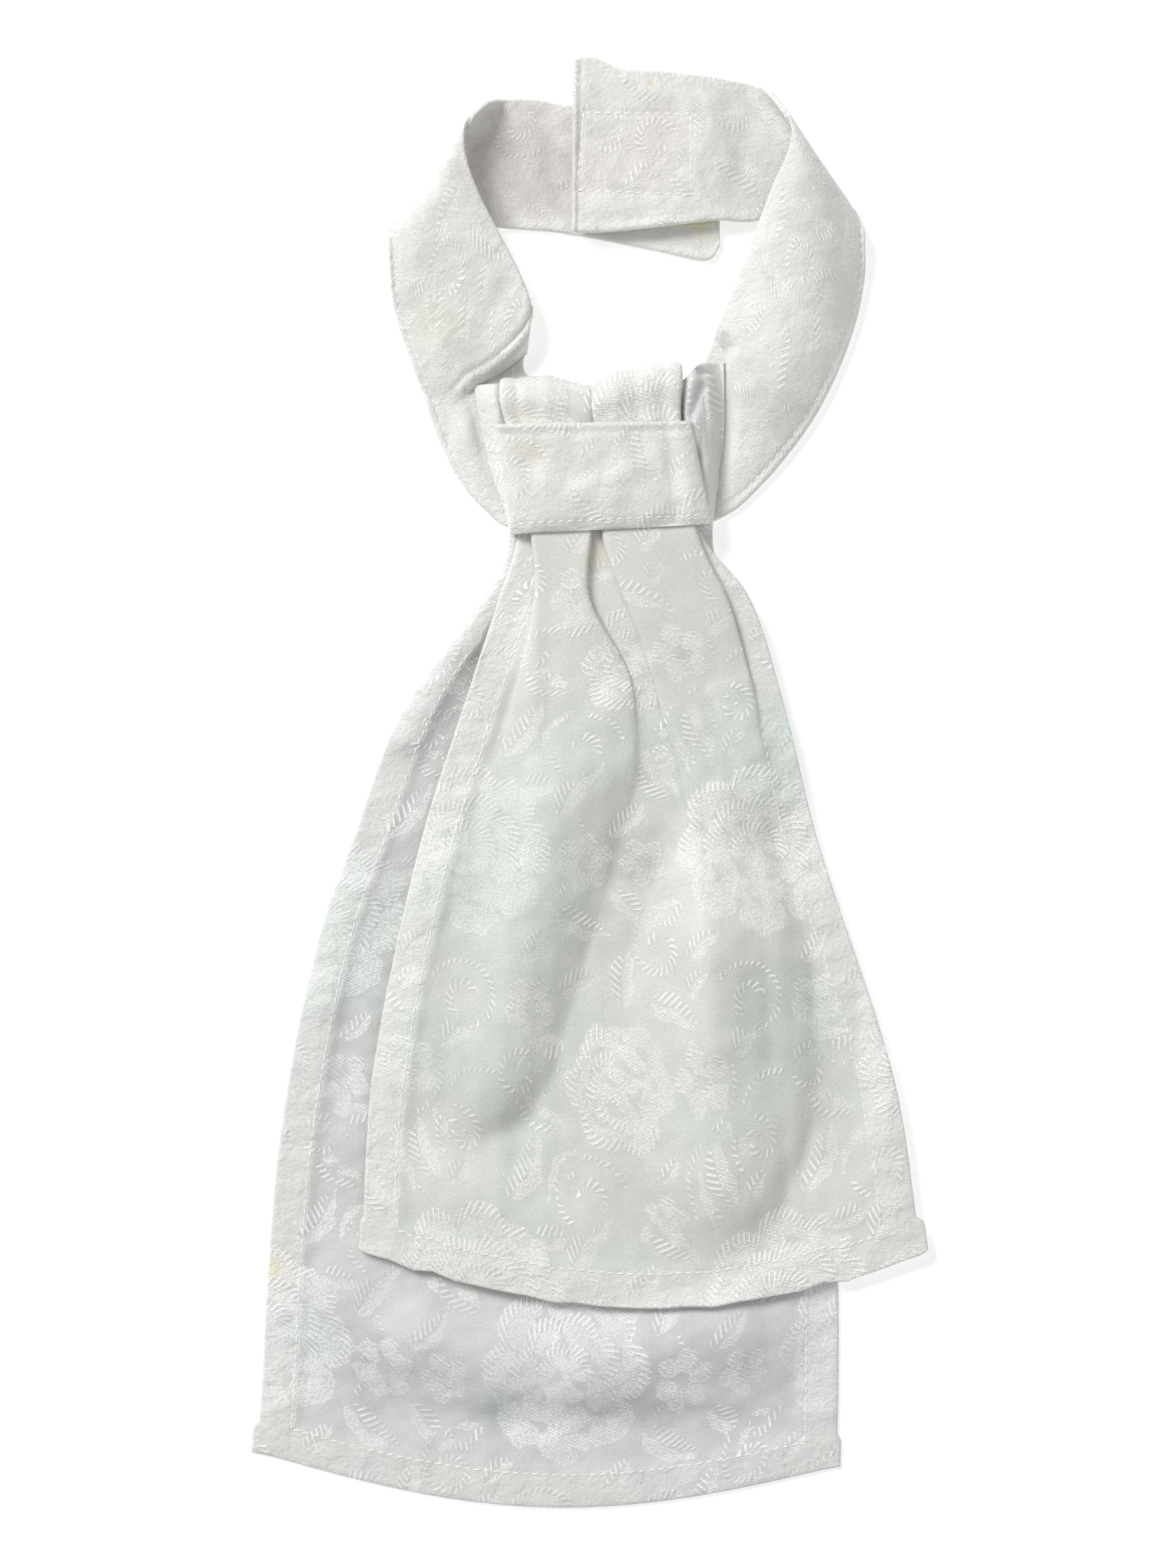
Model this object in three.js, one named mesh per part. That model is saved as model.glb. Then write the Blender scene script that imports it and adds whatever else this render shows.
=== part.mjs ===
// A ready-tied cravat in cream jacquard cloth, laid flat with its front up.
// Millimetres, +Z up, +Y towards the nape closure, +X to the right as seen from above.
// The part rests on z = 0, and x = 0, y = 0 is the middle of its outline.
// From the table up at the knot: neckband, back tail, back of the knot band, front tail, knot band.

import * as THREE from 'three';

// Driving sizes
const tailWall = 1.2;
const tailHemWall = 2.3;
const hemWidth = 10.6;
const bandWall = 1.9;
const knotWall = 1.4;
const patchWall = 0.9;
const patchLength = 35;
const patchWidth = 25;
const pleatPitch = 1.65;
const seamGap = 0.3;

const clothColour = new THREE.Color(0.86, 0.86, 0.83);
const patchColour = new THREE.Color(0.85, 0.82, 0.68);

// Small tools for numbers

function mix(a, b, t) {
  return a + (b - a) * t;
}

function smooth(edge0, edge1, x) {
  const t = Math.min(Math.max((x - edge0) / (edge1 - edge0), 0), 1);
  return t * t * (3 - 2 * t);
}

// Reads one column of a table as a smooth curve over its column "at".
function column(table, name) {
  const at = table.map((row) => row.at);
  const value = table.map((row) => row[name]);
  const last = table.length - 1;
  const slope = value.map((_, i) => {
    const a = Math.max(i - 1, 0);
    const b = Math.min(i + 1, last);
    return (value[b] - value[a]) / (at[b] - at[a]);
  });
  return (x) => {
    let i = 0;
    while (i < last - 1 && x > at[i + 1]) i += 1;
    const width = at[i + 1] - at[i];
    const t = Math.min(Math.max((x - at[i]) / width, 0), 1);
    const h = t * t * (3 - 2 * t);
    const rise = t * (1 - t) * (1 - t) * width * slope[i];
    const fall = t * t * (1 - t) * width * slope[i + 1];
    return mix(value[i], value[i + 1], h) + rise - fall;
  };
}

// Places for grid lines: "count" even steps between each two named places.
function stations(places, count) {
  const list = [];
  for (let i = 0; i < places.length - 1; i += 1) {
    for (let k = 0; k < count; k += 1) list.push(mix(places[i], places[i + 1], k / count));
  }
  list.push(places[places.length - 1]);
  return list;
}

// Soft folds laid on a panel: troughs (negative rise) and ridges along straight strokes.
function foldRise(folds, x, y) {
  let rise = 0;
  for (const fold of folds) {
    const dx = fold.toX - fold.fromX;
    const dy = fold.toY - fold.fromY;
    const length = Math.hypot(dx, dy);
    const along = ((x - fold.fromX) * dx + (y - fold.fromY) * dy) / length;
    const across = ((x - fold.fromX) * dy - (y - fold.fromY) * dx) / length;
    const outside = Math.max(-along, along - length, 0);
    const reach = (across * across + outside * outside) / (fold.width * fold.width);
    rise += fold.rise * Math.exp(-reach);
  }
  return rise;
}

// Named mesh from point coordinates and triangle corners.
function facetedMesh(name, points, faces, colour) {
  const geometry = new THREE.BufferGeometry();
  geometry.setAttribute('position', new THREE.Float32BufferAttribute(points, 3));
  geometry.setIndex(faces);
  geometry.computeVertexNormals();
  const material = new THREE.MeshStandardMaterial({ color: colour, roughness: 0.6, metalness: 0 });
  const mesh = new THREE.Mesh(geometry, material);
  mesh.name = name;
  return mesh;
}

// Closed solid between two grids of points, upper[row][col] and lower[row][col].
function closedSolid(name, upper, lower) {
  const rows = upper.length;
  const cols = upper[0].length;
  const points = [];
  for (const grid of [upper, lower]) {
    for (const row of grid) {
      for (const p of row) points.push(p.x, p.y, p.z);
    }
  }
  const top = (r, c) => r * cols + c;
  const under = (r, c) => rows * cols + r * cols + c;
  const faces = [];
  const quad = (a, b, c, d) => faces.push(a, b, c, a, c, d);
  for (let r = 0; r < rows - 1; r += 1) {
    for (let c = 0; c < cols - 1; c += 1) {
      quad(top(r, c), top(r + 1, c), top(r + 1, c + 1), top(r, c + 1));
      quad(under(r, c), under(r, c + 1), under(r + 1, c + 1), under(r + 1, c));
    }
    quad(top(r, 0), under(r, 0), under(r + 1, 0), top(r + 1, 0));
    quad(top(r, cols - 1), top(r + 1, cols - 1), under(r + 1, cols - 1), under(r, cols - 1));
  }
  for (let c = 0; c < cols - 1; c += 1) {
    quad(top(0, c), top(0, c + 1), under(0, c + 1), under(0, c));
    quad(top(rows - 1, c), under(rows - 1, c), under(rows - 1, c + 1), top(rows - 1, c + 1));
  }
  return facetedMesh(name, points, faces, clothColour);
}

// Moves a grid of points along its own normals, by a distance given for each point.
function offsetGrid(grid, distanceAt) {
  const rows = grid.length;
  const cols = grid[0].length;
  return grid.map((row, r) => row.map((p, c) => {
    const right = grid[r][Math.min(c + 1, cols - 1)].clone().sub(grid[r][Math.max(c - 1, 0)]);
    const down = grid[Math.min(r + 1, rows - 1)][c].clone().sub(grid[Math.max(r - 1, 0)][c]);
    const normal = down.cross(right).normalize();
    return p.clone().addScaledVector(normal, distanceAt(r, c));
  }));
}

// Back tail: a panel that fans out from the knot and lies on the table.
// at = height up the picture of each section, left and right = its two edges.
const backTailSections = [
  { at: -208, left: -102.0, right: 76.6, lift: 0.0 },
  { at: -183, left: -100.3, right: 77.2, lift: 0.0 },
  { at: -155, left: -98.9, right: 77.2, lift: 0.0 },
  { at: -112, left: -95.3, right: 76.0, lift: 0.0 },
  { at: -70, left: -88.4, right: 72.0, lift: 0.0 },
  { at: -41, left: -81.2, right: 69.0, lift: 0.0 },
  { at: -13, left: -71.0, right: 64.0, lift: 0.2 },
  { at: 1, left: -66.3, right: 61.0, lift: 0.5 },
  { at: 15, left: -60.9, right: 57.0, lift: 0.9 },
  { at: 29, left: -52.9, right: 52.0, lift: 1.3 },
  { at: 43, left: -42.4, right: 48.0, lift: 1.7 },
  { at: 58, left: -32.6, right: 43.5, lift: 2.1 },
  { at: 70, left: -25.4, right: 40.4, lift: 2.3 },
  { at: 80, left: -24.6, right: 40.0, lift: 2.3 },
  { at: 95, left: -29.6, right: 41.4, lift: 2.3 },
  { at: 108, left: -32.8, right: 41.8, lift: 2.3 },
  { at: 122.5, left: -35.2, right: 41.6, lift: 2.3 },
];
const backTailHem = { bow: 14.8, slope: 4.5 };
const backTailFolds = [
  { fromX: -56, fromY: 14, toX: -39, toY: 42, width: 7, rise: 2.6 },
  { fromX: -80, fromY: -66, toX: -70, toY: -34, width: 9, rise: 1.4 },
  { fromX: -10, fromY: -172, toX: 46, toY: -168, width: 17, rise: 4.0 },
  { fromX: -72, fromY: -168, toX: -52, toY: -150, width: 15, rise: 2.4 },
  { fromX: -26, fromY: -198, toX: 20, toY: -206, width: 5, rise: -0.8 },
];

const backTailEnds = { hem: backTailSections[0].at, top: backTailSections.at(-1).at };
const backLeft = column(backTailSections, 'left');
const backRight = column(backTailSections, 'right');
const backLift = column(backTailSections, 'lift');
const knotPressedWall = 2.7;
// Side pleats of the back tail that stand up beside the knot band, as ridges on its upper face.
const sidePleats = [
  { name: 'left', fromX: -34, fromY: 121, toX: -26.6, toY: 84, width: 2.2, rise: 1.8 },
  { name: 'right', fromX: 38.0, fromY: 126, toX: 39.2, toY: 84, width: 3.2, rise: 5.4 },
];

// Underside of the back tail, flat on the table but for its soft folds and its rise to the knot.
function backTailUnderside(x, y) {
  const pressed = 1 - smooth(52, 72, y);
  const edge = smooth(backTailEnds.hem - 6, backTailEnds.hem + 20, y);
  return Math.max(backLift(y), 0) + Math.max(foldRise(backTailFolds, x, y) - 0.35, 0) * pressed * edge;
}

function backTail() {
  const { hem: bottom, top: topPlace } = backTailEnds;
  const hemTop = bottom + hemWidth;
  const heights = [
    topPlace, 120.5, 118, 108, 92, 76, 68, 60, 52, 44, 36, 28, 20, 10, 0, -12, -26, -41, -56,
    -72, -88, -104, -120, -135, -150, -160, -170, -180, -189, hemTop + 0.8, hemTop - 0.4, -203, bottom,
  ];
  const upper = [];
  const lower = [];
  for (const y0 of heights) {
    const wide = backRight(y0) - backLeft(y0);
    const hem = hemWidth / wide;
    const inner = Math.min(hem * 1.5, 0.14);
    const edge = Math.min(hem, 0.09);
    const across = [
      0, edge / 2, edge - 0.4 / wide, edge + 0.8 / wide, ...stations([inner, 1 - inner], 14),
      1 - edge - 0.8 / wide, 1 - edge + 0.4 / wide, 1 - edge / 2, 1,
    ];
    const upperRow = [];
    const lowerRow = [];
    across.forEach((u, c) => {
      const x = mix(backLeft(y0), backRight(y0), u);
      const hemShape = backTailHem.bow * Math.sin(Math.PI * u) + backTailHem.slope * (u - 0.5);
      const bow = hemShape * smooth(-60, bottom, y0);
      const y = y0 - bow + 7.5 * smooth(100, topPlace, y0) * smooth(27, 37, x);
      const onHem = c < 3 || c > across.length - 4 || y0 < hemTop;
      const wall = mix(onHem ? tailHemWall : tailWall, knotPressedWall, smooth(36, 62, y0));
      const roundTop = 1.4 * smooth(117, topPlace, y0) ** 2;
      const sideRise = foldRise(sidePleats, x, y) * smooth(70, 82, y0);
      const bottomZ = backTailUnderside(x, y);
      upperRow.push(new THREE.Vector3(x, y, bottomZ + wall + sideRise - roundTop));
      lowerRow.push(new THREE.Vector3(x, y, bottomZ));
    });
    upper.push(upperRow);
    lower.push(lowerRow);
  }
  return closedSolid('back_tail', upper, lower);
}

// Lowest place for the middle of the front tail's wall, just clear of the back tail under it.
function restOnBackTail(x, y) {
  const inside = Math.min(x - backLeft(y), backRight(y) - x, y - backTailEnds.hem);
  const onHem = 1 - smooth(hemWidth + 1, hemWidth + 8, inside);
  const wall = mix(mix(tailWall, tailHemWall, onHem), knotPressedWall, smooth(34, 60, y));
  return backTailUnderside(x, y) + wall + seamGap + tailWall / 2 + 0.15;
}

// Front tail: one wall whose sections are pleated at the knot and open towards the hem.
// Each row is one fold of the cloth; the columns give its x at the named sections.
const frontTailFolds = [
  {
    name: 'left hem',
    head: -24, band: -23, knot: -18.8, flare: -27.4, upper: -37, middle: -51.2, low: -66, hem: -69.4,
  },
  {
    name: 'left under fold',
    head: -13, band: -12, knot: -9, flare: -12, upper: -15.5, middle: -34, low: -50, hem: -54,
  },
  {
    name: 'left pleat edge',
    head: -28.4, band: -24.6, knot: -17, flare: -15.4, upper: -17.5, middle: -26, low: -38, hem: -43,
  },
  {
    name: 'cleft left edge',
    head: -0.8, band: 0.6, knot: 0, flare: 0.4, upper: 17, middle: 10, low: -16, hem: -14,
  },
  {
    name: 'left hidden fold',
    head: -9, band: -7.5, knot: -5, flare: -4, upper: 14, middle: 16, low: -4, hem: -2,
  },
  {
    name: 'right hidden fold',
    head: 12, band: 12.5, knot: 14.5, flare: 20, upper: 28, middle: 34.5, low: 27, hem: 24,
  },
  {
    name: 'cleft right edge',
    head: 1.2, band: 2.4, knot: 5.2, flare: 10.6, upper: 20.5, middle: 31, low: 37, hem: 37.5,
  },
  {
    name: 'right pleat edge',
    head: 29.4, band: 27.8, knot: 33, flare: 41, upper: 48.5, middle: 53, low: 62, hem: 64,
  },
  {
    name: 'right under fold',
    head: 16, band: 16.5, knot: 21, flare: 33, upper: 44, middle: 60, low: 73, hem: 75.5,
  },
  {
    name: 'right hem',
    head: 26, band: 26, knot: 32, flare: 49.2, upper: 58.8, middle: 70.8, low: 93.5, hem: 102.0,
  },
];

// Height of each face between two folds, above the lowest layer, at the same sections.
const frontTailFaces = [
  {
    name: 'left strip',
    head: 0, band: 0, knot: 0, flare: 0.2, upper: 1.8, middle: 2.0, low: 0.9, hem: 0.2,
  },
  {
    name: 'left return',
    head: 1, band: 1, knot: 1, flare: 1.1, upper: 2.4, middle: 3.2, low: 1.5, hem: 0.5,
  },
  {
    name: 'left pleat',
    head: 2, band: 2, knot: 2, flare: 2.1, upper: 3.6, middle: 4.4, low: 2.2, hem: 0.8,
  },
  {
    name: 'cleft left return',
    head: 1, band: 1, knot: 1, flare: 1, upper: 2.0, middle: 2.4, low: 1.0, hem: 0.6,
  },
  {
    name: 'cleft floor',
    head: 0, band: 0, knot: 0, flare: 0, upper: 0.4, middle: 0.6, low: 0.6, hem: 0.7,
  },
  {
    name: 'cleft right return',
    head: 1, band: 1, knot: 1, flare: 1, upper: 2.0, middle: 2.2, low: 1.3, hem: 1.0,
  },
  {
    name: 'right pleat',
    head: 2, band: 2, knot: 2, flare: 2, upper: 3.6, middle: 3.8, low: 2.4, hem: 1.2,
  },
  {
    name: 'right return',
    head: 1, band: 1, knot: 1, flare: 1, upper: 2.0, middle: 1.8, low: 0.5, hem: 0.4,
  },
  {
    name: 'right strip',
    head: 0, band: 0, knot: 0, flare: 0, upper: 0.4, middle: 1.1, low: 1.0, hem: 0.9,
  },
];

// Sections of the front tail down its length: base height of its lowest layer, and how far each
// double fold has opened (0 pressed flat, larger is a softer wave).
const frontTailSections = [
  { at: 126, base: 7.75, open: 0 },
  { at: 110, base: 7.75, open: 0 },
  { at: 76, base: 7.75, open: 0 },
  { at: 66, base: 6.4, open: 0.1 },
  { at: 50, base: 5.2, open: 0.5 },
  { at: 29, base: 4.0, open: 1.6 },
  { at: -18, base: 2.9, open: 4.5 },
  { at: -89, base: 2.4, open: 6 },
  { at: -142.5, base: 3.2, open: 6 },
];
const sectionNames = [
  { name: 'head', at: 126 },
  { name: 'band', at: 110 },
  { name: 'knot', at: 76 },
  { name: 'flare', at: 57.5 },
  { name: 'upper', at: 29 },
  { name: 'middle', at: -18 },
  { name: 'low', at: -89 },
  { name: 'hem', at: -142.5 },
];
const frontTailHemBow = 18.4;
const headPuff = 1.2;
const frontTailStrokes = [
  { fromX: 21, fromY: 4, toX: 2, toY: -48, width: 9, rise: -1.6 },
  { fromX: 2, fromY: -48, toX: -20, toY: -92, width: 11, rise: -2.2 },
  { fromX: -44, fromY: -20, toX: -50, toY: -80, width: 13, rise: 2.6 },
  { fromX: 55, fromY: -20, toX: 62, toY: -92, width: 10, rise: -1.4 },
  { fromX: 62, fromY: -92, toX: 44, toY: -130, width: 13, rise: -1.3 },
  { fromX: 33, fromY: -26, toX: 38, toY: -80, width: 8, rise: 2.0 },
  { fromX: 78, fromY: -60, toX: 88, toY: -120, width: 9, rise: 1.8 },
  { fromX: -34, fromY: -98, toX: -14, toY: -104, width: 8, rise: -1.2 },
  { fromX: -10, fromY: -118, toX: 26, toY: -126, width: 15, rise: 2.2 },
];

// A table turned on its side: the value of one fold or face at every named section.
function alongTail(row) {
  const table = sectionNames.map((section) => ({ at: -section.at, value: row[section.name] }));
  const read = column(table, 'value');
  return (y) => read(-y);
}

// Corner points of one pleated section, before the hem, the strokes and the bow are added.
function pleatedSection(y, foldX, faceZ, openAt, baseAt) {
  const points = [];
  const open = openAt(-y);
  const unit = mix(pleatPitch, 1, smooth(60, 30, y));
  const z = faceZ.map((read) => baseAt(-y) + read(y) * unit);
  const x = foldX.map((read) => read(y));
  points.push({ x: x[0], z: z[0] });
  for (let face = 0; face < faceZ.length; face += 1) {
    const from = x[face];
    const to = x[face + 1];
    const turn = Math.sign(to - from) || 1;
    if (face === 0 || face === faceZ.length - 1) {
      const step = face === 0 ? hemWidth : -hemWidth;
      const start = face === 0 ? from : to;
      points.push({ x: start + step * 0.5, z: z[face] });
      points.push({ x: start + step, z: z[face] });
    }
    if (face > 0 && face < faceZ.length - 1) points.push({ x: (from + to) / 2, z: z[face] });
    if (face === faceZ.length - 1) points.push({ x: to, z: z[face] });
    if (face < faceZ.length - 1) {
      const next = face + 1;
      const turnBack = Math.sign(x[next + 1] - to) !== turn;
      const round = Math.abs(z[next] - z[face]) / 2;
      const reach = Math.min(open, Math.abs(to - from) * 0.45, Math.abs(x[next + 1] - to) * 0.45);
      const before = turnBack ? 1.3 * round : reach;
      const nose = turnBack ? 0.25 * round : reach / 3;
      const after = turnBack ? 1 : -1;
      points.push({ x: to - turn * before, z: z[face] });
      points.push({ x: to - turn * nose, z: mix(z[face], z[next], turnBack ? 0.19 : 0.26) });
      points.push({ x: to - turn * nose * after, z: mix(z[face], z[next], turnBack ? 0.81 : 0.74) });
      points.push({ x: to - turn * before * after, z: z[next] });
    }
  }
  // The last face lists its hem from the outside in, so its two places swap.
  const count = points.length;
  const outer = points[count - 3];
  points[count - 3] = points[count - 2];
  points[count - 2] = outer;
  return points;
}

function frontTail() {
  const foldX = frontTailFolds.map(alongTail);
  const faceZ = frontTailFaces.map(alongTail);
  const table = frontTailSections.map((row) => ({ at: -row.at, base: row.base, open: row.open }));
  const baseAt = column(table, 'base');
  const openAt = column(table, 'open');
  const bottom = frontTailSections[frontTailSections.length - 1].at;
  const foldLine = 118;
  const bendCentre = 5.9;
  const rows = [];
  const hemRows = [];
  const flatRows = [
    foldLine, 112, 102, 90, 80, 75.4, 71, 66, 60, 54, 46, 37, 28, 17, 6, -6, -18, -31, -45, -60, -75, -90,
    -103, -115, -125, bottom + hemWidth + 0.8, bottom + hemWidth - 0.4, bottom + hemWidth / 2, bottom,
  ];
  for (const angle of [88, 62, 34]) {
    const tilt = THREE.MathUtils.degToRad(angle);
    rows.push(pleatedSection(foldLine, foldX, faceZ, openAt, baseAt).map((p) => {
      const radius = p.z + headPuff - bendCentre;
      const top = headTop(p.x);
      const y = top + radius * Math.sin(tilt);
      return new THREE.Vector3(p.x, y, bendCentre + radius * Math.cos(tilt));
    }));
    hemRows.push(false);
  }
  for (const y0 of flatRows) {
    const section = pleatedSection(y0, foldX, faceZ, openAt, baseAt);
    const left = section[0].x;
    const right = section[section.length - 1].x;
    rows.push(section.map((p) => {
      const u = (p.x - left) / (right - left);
      const across = Math.min(Math.max(u, 0), 1);
      const bow = frontTailHemBow * smooth(-40, bottom, y0) * Math.sin(Math.PI * across);
      const loose = smooth(52, 10, y0);
      const quiet = smooth(bottom, bottom + 26, y0);
      const rise = foldRise(frontTailStrokes, p.x, y0) * loose * mix(0.25, 1, quiet);
      const shift = (headTop(p.x) - foldLine) * smooth(104, foldLine, y0);
      const puff = headPuff * smooth(111, 117, y0);
      const y = y0 - bow + shift;
      const base = baseAt(-y0);
      const lifted = Math.max(restOnBackTail(p.x, Math.min(y, 110)) - base, 0);
      return new THREE.Vector3(p.x, y, Math.max(p.z + rise, base) + lifted + puff);
    }));
    hemRows.push(y0 < bottom + hemWidth);
  }
  const cols = rows[0].length;
  const wallAt = (r, c) => {
    const onHem = hemRows[r] || c < 3 || c > cols - 4;
    const y = rows[r][c].y;
    return onHem ? mix(tailWall, tailHemWall, smooth(50, 20, y)) : tailWall;
  };
  const upper = offsetGrid(rows, (r, c) => wallAt(r, c) - tailWall / 2);
  const lower = offsetGrid(rows, () => -tailWall / 2);
  return closedSolid('front_tail', upper, lower);
}

// Place of the head's top fold across the knot: two pleats, a cleft and a raised right pleat.
const headOutline = [
  { at: -30, top: 117.0 },
  { at: -18, top: 117.8 },
  { at: -7, top: 117.2 },
  { at: -0.8, top: 115.0 },
  { at: 2, top: 115.6 },
  { at: 7, top: 118.2 },
  { at: 16, top: 121.0 },
  { at: 25, top: 122.6 },
  { at: 31, top: 121.4 },
];
function headTop(x) {
  return column(headOutline, 'top')(x);
}

// Knot band: a strip that goes right round the pleats of the front tail.
// left and right = its two sides at its upper and its lower edge, y = height of the edge's left end.
const knotTop = { left: -28.4, right: 31.6, y: 109.5 };
const knotBottom = { left: -23.6, right: 37.6, y: 76.0 };
const knotFaces = { under: 5.3, over: 12.0 };

function knotBand() {
  const rings = [0, 0.08, 0.3, 0.55, 0.8, 0.92, 1];
  const sides = 36;
  const outerRings = [];
  const innerRings = [];
  for (const down of rings) {
    const left = mix(knotTop.left, knotBottom.left, down);
    const right = mix(knotTop.right, knotBottom.right, down);
    const y = mix(knotTop.y, knotBottom.y, down);
    const slant = mix(1.0, 3.0, down);
    const outer = [];
    const inner = [];
    for (let s = 0; s < sides; s += 1) {
      const angle = (2 * Math.PI * s) / sides;
      const square = (v) => Math.sign(v) * Math.abs(v) ** 0.3;
      const halfWide = (right - left) / 2;
      const halfHigh = (knotFaces.over + knotWall - knotFaces.under) / 2;
      const cx = (left + right) / 2;
      const cz = knotFaces.under + halfHigh;
      const turned = down === 0 || down === 1 ? 0.45 : 0;
      const place = (shrink) => {
        const x = cx + (halfWide - shrink) * square(Math.cos(angle));
        const z = cz + (halfHigh - shrink) * square(Math.sin(angle));
        return new THREE.Vector3(x, y + slant * ((x - left) / (right - left)), z);
      };
      outer.push(place(turned));
      inner.push(place(knotWall - turned));
    }
    outerRings.push(outer);
    innerRings.push(inner);
  }
  return closedLoop('knot_band', outerRings, innerRings);
}

// Closed solid between an outer and an inner loop of rings.
function closedLoop(name, outer, inner) {
  const rows = outer.length;
  const cols = outer[0].length;
  const points = [];
  for (const grid of [outer, inner]) {
    for (const row of grid) {
      for (const p of row) points.push(p.x, p.y, p.z);
    }
  }
  const out = (r, c) => r * cols + (c % cols);
  const into = (r, c) => rows * cols + r * cols + (c % cols);
  const faces = [];
  const quad = (a, b, c, d) => faces.push(a, b, c, a, c, d);
  for (let c = 0; c < cols; c += 1) {
    for (let r = 0; r < rows - 1; r += 1) {
      quad(out(r, c), out(r, c + 1), out(r + 1, c + 1), out(r + 1, c));
      quad(into(r, c), into(r + 1, c), into(r + 1, c + 1), into(r, c + 1));
    }
    quad(out(0, c), into(0, c), into(0, c + 1), out(0, c + 1));
    quad(out(rows - 1, c), out(rows - 1, c + 1), into(rows - 1, c + 1), into(rows - 1, c));
  }
  return facetedMesh(name, points, faces, clothColour);
}

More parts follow.
